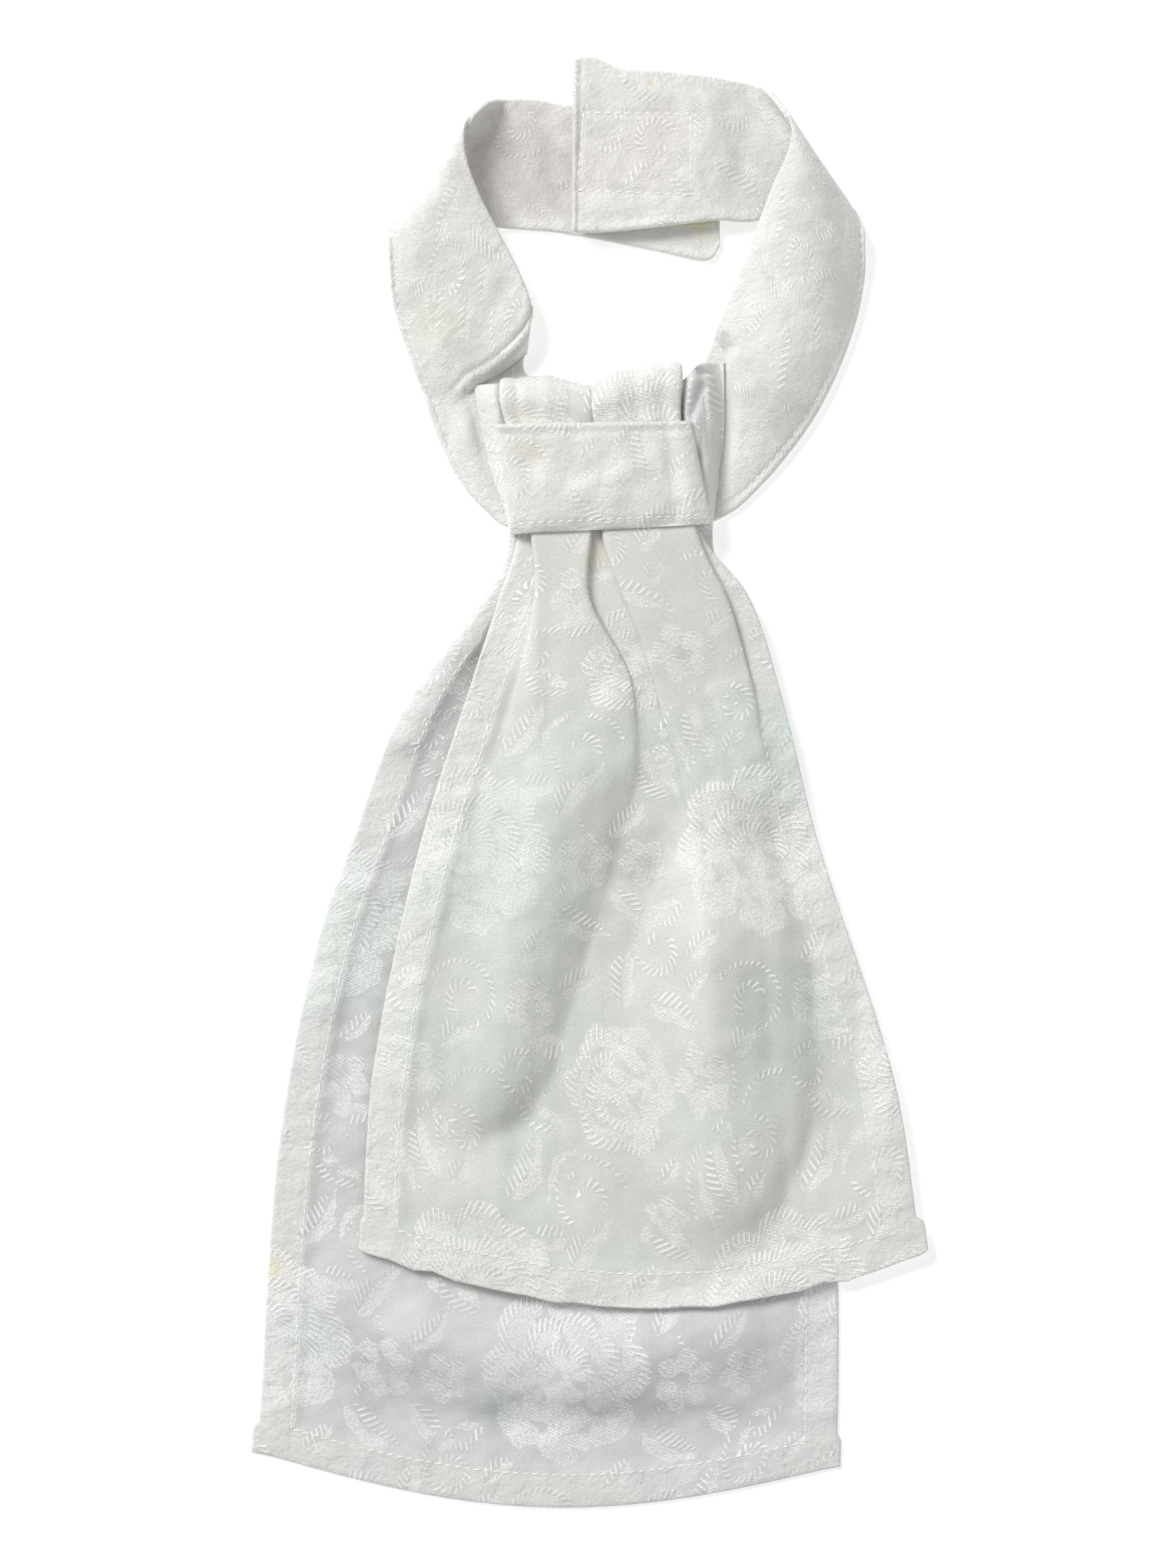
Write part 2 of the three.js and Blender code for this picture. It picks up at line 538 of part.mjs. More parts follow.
// Neckband: one strip from its left end at the nape, folded over at the left, down the left side,
// behind the knot, up the right side, folded over at the right and back to the nape on top.
// Each row is a section across the strip: its upper edge (topX, topY, topZ), its stitched lower edge
// (lowX, lowY, lowZ) and how far its middle stands above the line between them.
const neckbandSections = [
  { at: 0, topX: 40.5, topY: 203, topZ: 1.0, lowX: 40.5, lowY: 165.0, lowZ: 1.0, arch: 0 },
  { at: 1, topX: 36.5, topY: 206.5, topZ: 1.0, lowX: 35.5, lowY: 161.0, lowZ: 1.0, arch: 0 },
  { at: 1.6, topX: 20, topY: 208, topZ: 1.0, lowX: 20, lowY: 164.2, lowZ: 1.0, arch: 0 },
  { at: 2, topX: -5, topY: 209, topZ: 1.0, lowX: -5, lowY: 169, lowZ: 1.0, arch: 0.2 },
  { at: 3, topX: -16, topY: 210, topZ: 1.2, lowX: -18, lowY: 170.4, lowZ: 1.0, arch: 0.4 },
  { at: 4, topX: -23, topY: 210, topZ: 1.6, lowX: -31, lowY: 171.4, lowZ: 1.0, arch: 0.4 },
  { at: 5, topX: -27.2, topY: 209.6, topZ: 3.0, lowX: -52, lowY: 172.6, lowZ: 1.3, arch: 0 },
  { at: 6, topX: -28.4, topY: 209.0, topZ: 6.2, lowX: -61, lowY: 170.5, lowZ: 3.6, arch: 0 },
  { at: 7, topX: -30.0, topY: 206.6, topZ: 9.4, lowX: -61.2, lowY: 164.5, lowZ: 5.6, arch: 0.4 },
  { at: 8, topX: -35.4, topY: 200.6, topZ: 11.4, lowX: -60.8, lowY: 158, lowZ: 5.2, arch: 1.4 },
  { at: 9, topX: -36.6, topY: 192, topZ: 11.6, lowX: -60.2, lowY: 150, lowZ: 4.0, arch: 2.2 },
  { at: 10, topX: -33.4, topY: 181, topZ: 10.8, lowX: -58.2, lowY: 141, lowZ: 2.8, arch: 2.8 },
  { at: 11, topX: -27.0, topY: 168, topZ: 9.6, lowX: -54.4, lowY: 130, lowZ: 2.0, arch: 3.0 },
  { at: 12, topX: -20.6, topY: 155.6, topZ: 8.6, lowX: -50.6, lowY: 119, lowZ: 1.6, arch: 2.8 },
  { at: 13, topX: -17.0, topY: 145, topZ: 7.2, lowX: -46.0, lowY: 106, lowZ: 1.3, arch: 2.2 },
  { at: 14, topX: -18.2, topY: 136, topZ: 4.6, lowX: -40.0, lowY: 94, lowZ: 1.1, arch: 1.4 },
  { at: 15, topX: -16.0, topY: 126, topZ: 1.6, lowX: -32.0, lowY: 84.5, lowZ: 1.0, arch: 0.5 },
  { at: 16, topX: -4.0, topY: 120, topZ: 1.0, lowX: -22.0, lowY: 78.5, lowZ: 1.0, arch: 0 },
  { at: 17, topX: 9.0, topY: 119, topZ: 1.0, lowX: 8.0, lowY: 77.0, lowZ: 1.0, arch: 0 },
  { at: 18, topX: 24.0, topY: 121, topZ: 1.0, lowX: 32.0, lowY: 79.0, lowZ: 1.0, arch: 0 },
  { at: 19, topX: 34.0, topY: 128, topZ: 1.0, lowX: 44.0, lowY: 83.5, lowZ: 1.0, arch: 0.2 },
  { at: 20, topX: 38.6, topY: 137, topZ: 4.4, lowX: 53.0, lowY: 91.5, lowZ: 1.1, arch: 1.6 },
  { at: 21, topX: 43.2, topY: 148, topZ: 7.6, lowX: 62.0, lowY: 102, lowZ: 1.2, arch: 4.2 },
  { at: 22, topX: 47.6, topY: 159, topZ: 9.0, lowX: 70.6, lowY: 114.5, lowZ: 1.3, arch: 5.6 },
  { at: 23, topX: 52.0, topY: 171, topZ: 10.0, lowX: 77.6, lowY: 129, lowZ: 1.4, arch: 6.4 },
  { at: 24, topX: 56.6, topY: 183, topZ: 10.6, lowX: 82.4, lowY: 143, lowZ: 1.6, arch: 6.4 },
  { at: 25, topX: 61.0, topY: 193, topZ: 11.0, lowX: 84.6, lowY: 155, lowZ: 2.4, arch: 5.2 },
  { at: 26, topX: 61.8, topY: 200.4, topZ: 10.8, lowX: 84.9, lowY: 163, lowZ: 4.0, arch: 2.8 },
  { at: 27, topX: 58.4, topY: 207.4, topZ: 9.6, lowX: 84.4, lowY: 169, lowZ: 5.0, arch: 0.8 },
  { at: 28, topX: 53.8, topY: 213.4, topZ: 6.6, lowX: 80.0, lowY: 176, lowZ: 3.6, arch: 0 },
  { at: 29, topX: 50.8, topY: 214.6, topZ: 3.6, lowX: 70.0, lowY: 177, lowZ: 1.3, arch: 0 },
  { at: 30, topX: 44.0, topY: 215.8, topZ: 4.4, lowX: 51.0, lowY: 172.8, lowZ: 2.6, arch: 0.2 },
  { at: 31, topX: 34.0, topY: 217.2, topZ: 5.6, lowX: 39.5, lowY: 172.6, lowZ: 5.2, arch: 0.2 },
  { at: 32, topX: 22.0, topY: 218.4, topZ: 5.8, lowX: 24.0, lowY: 170.8, lowZ: 5.8, arch: 0 },
  { at: 33, topX: 10.0, topY: 219.2, topZ: 5.8, lowX: 8.5, lowY: 169.2, lowZ: 5.8, arch: 0 },
  { at: 34, topX: 2.5, topY: 222.4, topZ: 5.8, lowX: 0.5, lowY: 168.8, lowZ: 5.8, arch: 0 },
  { at: 35, topX: -4.8, topY: 222.9, topZ: 5.8, lowX: -5.0, lowY: 169.0, lowZ: 5.8, arch: 0 },
];
const neckbandLastSection = neckbandSections.at(-1).at;
// Where the strip is pinched as it goes under the head, its upper part drops over this ridge line.
const bandRest = bandWall / 2 + 0.05;
const pinch = { fromX: -16.5, fromY: 145, toX: -36, toY: 124, width: 3.2 };

function neckbandCentre(at, across) {
  const read = (name) => column(neckbandSections, name)(at);
  const x = mix(read('topX'), read('lowX'), across);
  const y = mix(read('topY'), read('lowY'), across);
  const flatZ = mix(read('topZ'), read('lowZ'), across);
  let z = flatZ + read('arch') * 4 * across * (1 - across);
  if (at > 11.5 && at < 16.5) {
    const dx = pinch.toX - pinch.fromX;
    const dy = pinch.toY - pinch.fromY;
    const length = Math.hypot(dx, dy);
    const beyond = ((x - pinch.fromX) * -dy + (y - pinch.fromY) * dx) / length;
    const inner = smooth(-pinch.width, pinch.width, beyond);
    z = mix(z, bandRest, inner);
  }
  if (at > 12 && at < 23) {
    const beside = Math.min(x - backLeft(y), backRight(y) - x);
    const above = Math.max(y - 134, 0);
    z = mix(z, bandRest, smooth(-13, -2.2, beside - above));
  }
  return new THREE.Vector3(x, y, z);
}

function neckband() {
  const acrossPlaces = [0, 0.06, 0.22, 0.4, 0.58, 0.76, 0.92, 1];
  const alongPlaces = [];
  for (let at = 0; at < neckbandLastSection; at += 1) {
    const close = at >= 12 && at < 16;
    alongPlaces.push(...stations([at, at + 1], close ? 3 : 2).slice(0, -1));
  }
  alongPlaces.push(neckbandLastSection);
  const grid = alongPlaces.map((at) => acrossPlaces.map((across) => neckbandCentre(at, across)));
  const upper = offsetGrid(grid, () => -bandWall / 2);
  const lower = offsetGrid(grid, () => bandWall / 2);
  return closedSolid('neckband', lower, upper);
}

// Hook and loop patches of the nape closure: the loop patch lies on the left end and the hook patch
// under the right end, inside its rectangle of stitching.
function patch(name, x, y, z, turn) {
  const geometry = new THREE.BoxGeometry(patchLength, patchWidth, patchWall);
  const material = new THREE.MeshStandardMaterial({ color: patchColour, roughness: 0.9, metalness: 0 });
  const mesh = new THREE.Mesh(geometry, material);
  mesh.name = name;
  mesh.position.set(x, y, z);
  mesh.rotation.z = turn;
  return mesh;
}

const leftEndTop = 1.0 + bandWall / 2;
const loopPatchZ = leftEndTop + seamGap + patchWall / 2;
const hookPatchZ = loopPatchZ + patchWall + seamGap;

const cravat = new THREE.Group();
cravat.add(neckband());
cravat.add(backTail());
cravat.add(frontTail());
cravat.add(knotBand());
cravat.add(patch('loop_patch', 21.5, 184.0, loopPatchZ, -0.03));
cravat.add(patch('hook_patch', 15.0, 194.0, hookPatchZ, 0));

export default cravat;
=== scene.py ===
# %% [markdown]
# A ready-tied cravat in cream jacquard, laid flat with its front up. A neckband closes at the nape, a
# knot band holds the pleats, and two hemmed tails hang from it, the shorter one in front. The packed
# solids fix every size and place. Here each one is replaced by a finer cloth shell on the same form.

import bpy
import numpy as np
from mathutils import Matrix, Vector


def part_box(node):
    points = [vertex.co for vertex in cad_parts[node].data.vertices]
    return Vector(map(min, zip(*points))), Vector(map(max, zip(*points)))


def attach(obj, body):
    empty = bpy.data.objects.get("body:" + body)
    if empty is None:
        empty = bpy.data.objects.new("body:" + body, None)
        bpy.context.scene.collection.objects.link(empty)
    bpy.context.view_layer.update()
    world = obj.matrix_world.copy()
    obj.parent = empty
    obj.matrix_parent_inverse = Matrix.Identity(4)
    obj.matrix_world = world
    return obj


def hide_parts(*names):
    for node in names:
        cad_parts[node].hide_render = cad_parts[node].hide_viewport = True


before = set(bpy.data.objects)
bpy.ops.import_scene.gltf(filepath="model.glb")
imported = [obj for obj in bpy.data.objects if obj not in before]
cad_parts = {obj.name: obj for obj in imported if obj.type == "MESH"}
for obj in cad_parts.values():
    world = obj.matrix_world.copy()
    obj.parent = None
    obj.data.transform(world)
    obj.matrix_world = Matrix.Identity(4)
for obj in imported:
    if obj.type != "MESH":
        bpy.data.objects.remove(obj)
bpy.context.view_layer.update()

# %% [markdown]
# The camera looks straight down from above the middle of the cravat, as the photo does. A vertical
# sensor fit keeps the lens sum simple: focal length over distance is sensor height over view height.

# %% The camera
CAMERA_HEIGHT = 0.90
VIEW_HEIGHT = 0.4833
SENSOR = 36.0

camera_data = bpy.data.cameras.new("camera")
camera_data.sensor_fit = "VERTICAL"
camera_data.sensor_height = SENSOR
camera_data.lens = SENSOR * CAMERA_HEIGHT / VIEW_HEIGHT
camera = bpy.data.objects.new("camera", camera_data)
camera.location = (0, 0, CAMERA_HEIGHT)
bpy.context.scene.collection.objects.link(camera)
bpy.context.scene.camera = camera
print("lens in millimetres:", round(camera_data.lens, 1))

# %% [markdown]
# Cloth is measured in millimetres, so every size below is in millimetres until a mesh is made. A few
# small tools come first: a smooth step, a smooth curve through a short table, a gentle unevenness, and
# soft strokes, which are the troughs and ridges that a hand presses into cloth.

# %% Small tools for numbers
MM = 0.001


def mix(a, b, t):
    """Straight line from a to b: a plus t times the difference."""
    return a + (b - a) * t


def smooth(edge0, edge1, x):
    """Smooth step: 0 before edge0, 1 after edge1, and 3t² - 2t³ between them."""
    t = np.clip((x - edge0) / (edge1 - edge0), 0, 1)
    return t * t * (3 - 2 * t)


def hump(x, middle, width):
    """Bell of height 1: e to the power of minus the squared distance in widths."""
    return np.exp(-(((x - middle) / width) ** 2))


def table(names, *rows):
    """A short table: one array for each named column."""
    return dict(zip(names.split(), np.array(rows, float).T))


def along(at, value, x):
    """Curve through a column: in each span a cubic, whose slope at a row is that between its neighbours."""
    after = np.r_[at[1:], at[-1]] - np.r_[at[0], at[:-1]]
    slope = (np.r_[value[1:], value[-1]] - np.r_[value[0], value[:-1]]) / after
    i = np.clip(np.searchsorted(at, x, side="right") - 1, 0, len(at) - 2)
    width = at[i + 1] - at[i]
    t = np.clip((x - at[i]) / width, 0, 1)
    bend = t * (1 - t) ** 2 * width * slope[i] - t * t * (1 - t) * width * slope[i + 1]
    return mix(value[i], value[i + 1], t * t * (3 - 2 * t)) + bend


def strokes(folds, x, y):
    """Soft folds: each adds its rise times a bell of the distance to its straight stroke."""
    rise = np.zeros(np.broadcast(x, y).shape)
    for x0, y0, x1, y1, width, height in folds:
        dx, dy = x1 - x0, y1 - y0
        k = np.clip(((x - x0) * dx + (y - y0) * dy) / (dx * dx + dy * dy), 0, 1)
        rise += height * np.exp(-(((x - x0 - k * dx) ** 2 + (y - y0 - k * dy) ** 2) / width**2))
    return rise


def crumple(x, y, size, seed):
    """Gentle unevenness between -1 and 1: a mean of sine waves in directions that the seed turns."""
    total = 0
    for k in range(5):
        turn = seed + 2.4 * k
        length = size * (0.7 + 0.17 * k)
        total = total + np.sin(2 * np.pi * (x * np.cos(turn) + y * np.sin(turn)) / length + 1.7 * seed * k)
    return total / 3.2


def crumpled(layers, x, y):
    """Sum of crumple layers: each is a height, a size and a seed."""
    return sum(height * crumple(x, y, size, seed) for height, size, seed in layers)


def stations(places, spacing):
    """Grid lines: between each two named places an even number of equal steps near the spacing."""
    lines = [np.array([places[0]], float)]
    for a, b in zip(places[:-1], places[1:]):
        steps = 2 * max(1, int(round(abs(b - a) / spacing / 2)))
        lines.append(np.linspace(a, b, steps + 1)[1:])
    return np.concatenate(lines)


def blur(grid, weight, times, axis):
    """Repeated mean of neighbours along one axis, as strong as the weight at each point."""
    for _ in range(times):
        padded = np.concatenate([grid.take([0], axis), grid, grid.take([-1], axis)], axis)
        count = grid.shape[axis]
        ends = padded.take(range(count), axis) + padded.take(range(2, count + 2), axis)
        grid = mix(grid, (ends + 2 * grid) / 4, weight)
    return grid


print("smooth step at 0, 0.25, 0.5 and 1:", smooth(0, 1, np.array([0, 0.25, 0.5, 1])).round(3))

# %% [markdown]
# The pattern is woven, not printed: a satin ground with long floats that catch the light. On the real
# cloth it is a repeat of large rosettes, small flowers, leaves, vines and scrolls. It could be drawn in
# shader nodes, but many leaves make many nodes. Here numpy works out, for each point of the cloth, how
# far inside a motif it lies. The mesh carries that distance, so an edge stays sharp between its points.
# It also carries the run along each outline, which spaces the slanted floats that make it look like rope.

# %% The woven motifs
REPEAT = (92.0, 124.0)
FAR = -9.0
ROPE_SLANT = 0.6
RUN_SLOPE = 2.0
NO_ROPE = -0.5
# Where the repeat starts on each cloth.
BACK_SHIFT = (65, 45)
FRONT_SHIFT = (14, 70)
BAND_SHIFT = (40, 18)
KNOT_SHIFT = (6, 30)
BODY_UNEVEN = [(0.8, 6.5, 1.9)]
ROPE_UNEVEN = [(0.3, 5.5, 0.6)]


def petal_ring(x, y, radius, petals, depth, turn):
    """Inside distance of a scalloped ring: a radius that dips between petals, less the distance out."""
    angle = np.arctan2(y, x) - turn
    scallop = np.abs(np.cos(petals * angle / 2)) ** 0.55
    return (radius * (1 - depth + depth * scallop) - np.hypot(x, y)) * 0.85


def petal_gap(x, y, petals, turn):
    """Distance to the nearest line between two petals: radius times the angle to that line."""
    share = (np.arctan2(y, x) - turn) * petals / (2 * np.pi)
    off = np.abs(share - np.floor(share) - 0.5)
    return np.hypot(x, y) * np.sin(np.minimum(off * 2 * np.pi / petals, 1.5))


def rosette(x, y, radius, petals, turn):
    """Three rings of petals with thin gaps between them, and a rope along one side of each outline."""
    body = petal_ring(x, y, radius, petals, 0.2, turn)
    rope = np.full(x.shape, FAR)
    run = np.zeros(x.shape)
    angle, out = np.arctan2(y, x), np.hypot(x, y)
    facing = 6 * (np.cos(angle - turn - 0.6) + 0.25)
    outer = body.copy()
    for share, count, shift in [(1.0, petals, 0.0), (0.66, petals - 1, 0.5), (0.36, petals - 2, 0.2)]:
        ring = petal_ring(x, y, radius * share, count, 0.22, turn + shift)
        between = np.where(ring > 0, petal_gap(x, y, count, turn + shift) - 0.45, 1)
        inner = petal_ring(x, y, radius * (share - 0.32), max(count - 1, 3), 0.2, turn + 0.5)
        body = np.minimum(body, np.where(inner < 0, between, 1))
        body = np.minimum(body, np.abs(ring) - (0.4 if share < 1 else -9))
        edge = np.minimum(1.5 - np.abs(ring - 1.4), facing)
        run = np.where(edge > rope, angle * radius * share * 0.9 + ROPE_SLANT * out, run)
        rope = np.maximum(rope, edge)
    return np.minimum(body, outer), rope, run


def small_flower(x, y, radius, petals, turn):
    """Round petals round an open eye, with ropes round the eye and along half of the outline."""
    ring = petal_ring(x, y, radius, petals, 0.42, turn)
    eye = radius * 0.26 - np.hypot(x, y)
    body = np.minimum(np.minimum(ring, petal_gap(x, y, petals, turn) - 0.3), -eye)
    outline = np.minimum(0.8 - np.abs(ring - 0.8), y)
    return body, np.maximum(0.7 - np.abs(eye + 0.1), outline), x + y


def leaf(x, y, length, width, bend):
    """Pointed leaf: one half is roped floats and the other a plain body, with a rib left open between."""
    t = np.clip(x / length, 0, 1)
    half = width / 2 * np.sin(np.pi * t**0.8) ** 0.8
    side = y - bend * np.sin(np.pi * t)
    ends = np.minimum(x, length - x)
    inside = np.minimum(half - np.abs(side), ends)
    return np.minimum(inside, -side - 0.3), np.minimum(inside, side - 0.25), x - ROPE_SLANT * np.abs(side)


def stroke_line(x, y, curve, half):
    """Inside distance of a tapering line, half width less distance to it, and the run along the line."""
    best = np.full(x.shape, FAR)
    run = np.zeros(x.shape)
    start = 0
    for (x0, y0), (x1, y1), h0, h1 in zip(curve[:-1], curve[1:], half[:-1], half[1:]):
        dx, dy = x1 - x0, y1 - y0
        length = np.hypot(dx, dy)
        k = np.clip(((x - x0) * dx + (y - y0) * dy) / length**2, 0, 1)
        inside = mix(h0, h1, k) - np.hypot(x - x0 - k * dx, y - y0 - k * dy)
        across = ((x - x0) * dy - (y - y0) * dx) / length
        run = np.where(inside > best, start + k * length + ROPE_SLANT * across, run)
        best = np.maximum(best, inside)
        start += length
    return best, run


def scroll(x, y, size, turns, hand, width):
    """Volute: a stroke whose radius shrinks as it winds, from a thin tail to a thick round end."""
    f = np.linspace(0, 1, 34)
    angle = hand * turns * 2 * np.pi * f
    radius = size * (1 - 0.74 * f**0.8)
    curve = np.stack([radius * np.cos(angle), radius * np.sin(angle)], 1)
    line, run = stroke_line(x, y, curve, width * (0.35 + 0.65 * f) / 2 + 0.2)
    return np.full(x.shape, FAR), line, run


def stem(x, y, length, swing, width):
    """Vine: a stroke along a sine curve that swings to both sides and tapers to its ends."""
    f = np.linspace(0, 1, 19)
    curve = np.stack([length * f, swing * np.sin(2 * np.pi * f)], 1)
    line, run = stroke_line(x, y, curve, width * (0.6 + 0.4 * np.sin(np.pi * f)) / 2)
    return np.full(x.shape, FAR), line, run


# Each row is a motif: its shape, its place on the repeat, how far it is turned, and its sizes.
MOTIFS = [
    (rosette, 30, 34, 0.4, (26, 8, 0.4)),
    (rosette, 74, 92, 2.0, (17, 6, 1.1)),
    (leaf, 76, 112, 1.4, (17, 8.0, 2)),
    (leaf, 60, 76, -2.2, (16, 8.0, -1)),
    (leaf, 44, 52, 0.1, (15, 7.0, 1)),
    (leaf, 6, 72, -1.3, (15, 7.0, 1)),
    (stem, 60, 6, 1.5, (40, 4, 1.7)),
    (stem, 4, 60, 1.3, (44, 5, 1.7)),
    (stem, 36, 68, 0.9, (38, -4, 1.7)),
    (stem, 20, 88, 0.5, (30, 3, 1.7)),
    (small_flower, 66, 30, 0.0, (9.5, 6, 0.3)),
    (small_flower, 8, 94, 0.6, (9.0, 5, 0.0)),
    (small_flower, 46, 112, 0.2, (8.5, 5, 0.8)),
    (small_flower, 86, 58, 0.2, (8.0, 6, 0.1)),
    (leaf, 57, 44, 0.9, (23, 9.5, 2)),
    (leaf, 54, 18, -0.5, (21, 9.0, -2)),
    (leaf, 75, 21, -0.9, (15, 7.5, 1)),
    (leaf, 74, 38, 0.8, (15, 7.5, -1)),
    (leaf, 3, 50, 2.4, (20, 8.5, 2)),
    (leaf, 5, 18, -2.3, (19, 8.0, -2)),
    (leaf, 16, 62, 1.9, (20, 8.5, 2)),
    (leaf, 38, 62, 1.1, (21, 8.5, -2)),
    (leaf, 55, 82, 2.6, (18, 8.0, 2)),
    (leaf, 57, 103, -2.7, (18, 8.0, -2)),
    (leaf, 84, 114, -0.4, (18, 8.0, 1)),
    (leaf, 17, 100, 0.6, (17, 7.5, 1)),
    (leaf, 15, 84, -0.6, (15, 7.0, -1)),
    (small_flower, 85, 30, 0.3, (7.5, 5, 0.5)),
    (leaf, 55, 116, 0.3, (15, 7.0, 1)),
    (leaf, 43, 0, 0.9, (13, 6.5, -1)),
    (leaf, 6, 1, 0.7, (13, 6.0, 1)),
    (leaf, 20, 63, 0.9, (10, 5.5, 1)),
    (leaf, 5, 115, 0.8, (10, 5.0, 1)),
    (leaf, 84, 69, 0.8, (10, 5.0, -1)),
    (scroll, 62, 64, 0.3, (13, 1.35, 1, 3.0)),
    (scroll, 26, 114, 2.6, (12, 1.3, -1, 2.8)),
    (scroll, 88, 4, 1.2, (11, 1.2, 1, 2.8)),
    (scroll, 24, 78, 4.0, (9, 1.1, -1, 2.6)),
    (scroll, 42, 94, 5.2, (10, 1.2, 1, 2.6)),
]


def run_jumps(run, s, t):
    """Corners of each grid cell in which the run changes faster along the cloth than a rope's can."""
    steep = []
    for axis in (0, 1):
        length = np.hypot(np.diff(s, axis=axis), np.diff(t, axis=axis))
        steep.append(np.abs(np.diff(run, axis=axis)) > RUN_SLOPE * length)
    down, across = steep
    cell = down[:, :-1] | down[:, 1:] | across[:-1] | across[1:]
    marked = np.zeros(run.shape, bool)
    for rows in (slice(None, -1), slice(1, None)):
        for columns in (slice(None, -1), slice(1, None)):
            marked[rows, columns] |= cell
    return marked


def motif_fields(s, t, shift):
    """Inside distances of bodies and ropes, largest over a repeat's motifs, and the run of the rope."""
    body = np.full(s.shape, FAR)
    rope = np.full(s.shape, FAR)
    run = np.zeros(s.shape)
    wide, high = REPEAT
    for shape, cx, cy, turn, sizes in MOTIFS:
        dx = (s - shift[0] - cx + wide / 2) % wide - wide / 2
        dy = (t - shift[1] - cy + high / 2) % high - high / 2
        x = dx * np.cos(turn) + dy * np.sin(turn)
        y = dy * np.cos(turn) - dx * np.sin(turn)
        motif_body, motif_rope, motif_run = shape(x, y, *sizes)
        inside = np.maximum(motif_body, motif_rope)
        run = np.where((inside > 0) | (motif_rope > rope), motif_run, run)
        body = np.where(inside > 0, motif_body, np.maximum(body, motif_body))
        rope = np.where(inside > 0, motif_rope, np.maximum(rope, motif_rope))
    body = body + crumpled(BODY_UNEVEN, s, t)
    rope = rope + crumpled(ROPE_UNEVEN, s, t)
    return body, np.where(run_jumps(run, s, t), np.minimum(rope, NO_ROPE), rope), run


print("motifs in one repeat:", len(MOTIFS))

# %% [markdown]
# Cloth has two faces and an edge. A Solidify modifier could thicken a single grid, but a hem and a pleat
# are thicker than the wall between them. So every cloth piece is a closed shell between two grids of
# points. On the tails the under grid takes every second point of the upper one, because nobody looks
# closely at an underside, and the rim joins the two with three triangles a step. The neckband turns over,
# so there both grids are whole. The mesh keeps the cloth's own flat coordinates as its UV map, and the
# motif distances as numbers at its points.

# %% A closed shell from two grids
def normals_of(grid):
    """Unit normals of a grid: the cross product of its two directions, worked out by differences."""
    down = np.gradient(grid, axis=0)
    right = np.gradient(grid, axis=1)
    normal = np.cross(down, right)
    return normal / np.maximum(np.linalg.norm(normal, axis=2, keepdims=True), 1e-9)


def rim_faces(fine, coarse):
    """Triangles between two borders: two a step if they match, and three if one has every second point."""
    p, q = coarse[:-1], coarse[1:]
    if len(fine) == len(coarse):
        return np.concatenate([np.stack(f, 1) for f in ((fine[:-1], fine[1:], p), (fine[1:], q, p))])
    a, b, c = fine[0:-2:2], fine[1:-1:2], fine[2::2]
    return np.concatenate([np.stack(f, 1) for f in ((a, b, p), (b, q, p), (b, c, q))])


def signed_volume(points, triangles):
    """Six times the volume: the sum over triangles of the triple product of their corners."""
    a, b, c = (points[triangles[:, k]] for k in range(3))
    return float((a * np.cross(b, c)).sum())


def cloth_mesh(name, points, groups, fields):
    """Mesh of groups of faces, turned to face outwards, with a number or a flat place at each point."""
    triangles = [part[:, :3] for part in groups]
    triangles = np.concatenate(triangles + [part[:, [0, 2, 3]] for part in groups if part.shape[1] == 4])
    if signed_volume(points, triangles) < 0:
        groups = [part[:, ::-1] for part in groups]
    mesh = bpy.data.meshes.new(name)
    mesh.from_pydata(points * MM, [], [face for part in groups for face in part.tolist()])
    mesh.polygons.foreach_set("use_smooth", np.ones(len(mesh.polygons), bool))
    corner = np.empty(len(mesh.loops), np.int32)
    mesh.loops.foreach_get("vertex_index", corner)
    for field, values in fields.items():
        if values.shape[1] == 1:
            numbers = values.ravel().astype(np.float32)
            mesh.attributes.new(field, "FLOAT", "POINT").data.foreach_set("value", numbers)
        else:
            places = values[corner].ravel().astype(np.float32)
            mesh.uv_layers.new(name=field).data.foreach_set("uv", places)
    mesh.validate()
    print(name, "triangles:", len(triangles))
    return mesh


def shell_mesh(name, upper, lower, fields, step=2):
    """Closed mesh with the upper grid whole, every step-th line of the lower one, and its fields."""
    rows, cols = upper.shape[:2]
    under = lower[::step, ::step]
    low_rows, low_cols = under.shape[:2]
    top = np.arange(rows * cols).reshape(rows, cols)
    low = rows * cols + np.arange(low_rows * low_cols).reshape(low_rows, low_cols)
    quads = np.stack([top[:-1, :-1], top[1:, :-1], top[1:, 1:], top[:-1, 1:]], 2).reshape(-1, 4)
    flipped = np.stack([low[:-1, :-1], low[:-1, 1:], low[1:, 1:], low[1:, :-1]], 2).reshape(-1, 4)
    rims = np.concatenate([
        rim_faces(top[0], low[0]),
        rim_faces(top[-1], low[-1])[:, ::-1],
        rim_faces(top[:, 0], low[:, 0])[:, ::-1],
        rim_faces(top[:, -1], low[:, -1]),
    ])
    points = np.concatenate([upper.reshape(-1, 3), under.reshape(-1, 3)])
    flat = {}
    for field, values in fields.items():
        below = values[::step, ::step].reshape(low_rows * low_cols, -1)
        flat[field] = np.concatenate([values.reshape(rows * cols, -1), below])
    return cloth_mesh(name, points, [np.concatenate([quads, flipped]), rims], flat)


def add_object(name, mesh, material, body="root"):
    """Links a mesh at the origin, gives it its finish, and lets it ride on the one body."""
    thing = bpy.data.objects.new(name, mesh)
    bpy.context.scene.collection.objects.link(thing)
    mesh.materials.append(material)
    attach(thing, body)
    return thing


def cloth_fields(s, t, shift, hem):
    """What the material reads: flat cloth places in metres, the motif fields and how much it is a hem."""
    body, rope, run = motif_fields(s, t, shift)
    flat = np.stack([s, t], 2) * MM
    return {"cloth": flat, "motif_body": body, "motif_rope": rope, "rope_run": run, "hem": hem}


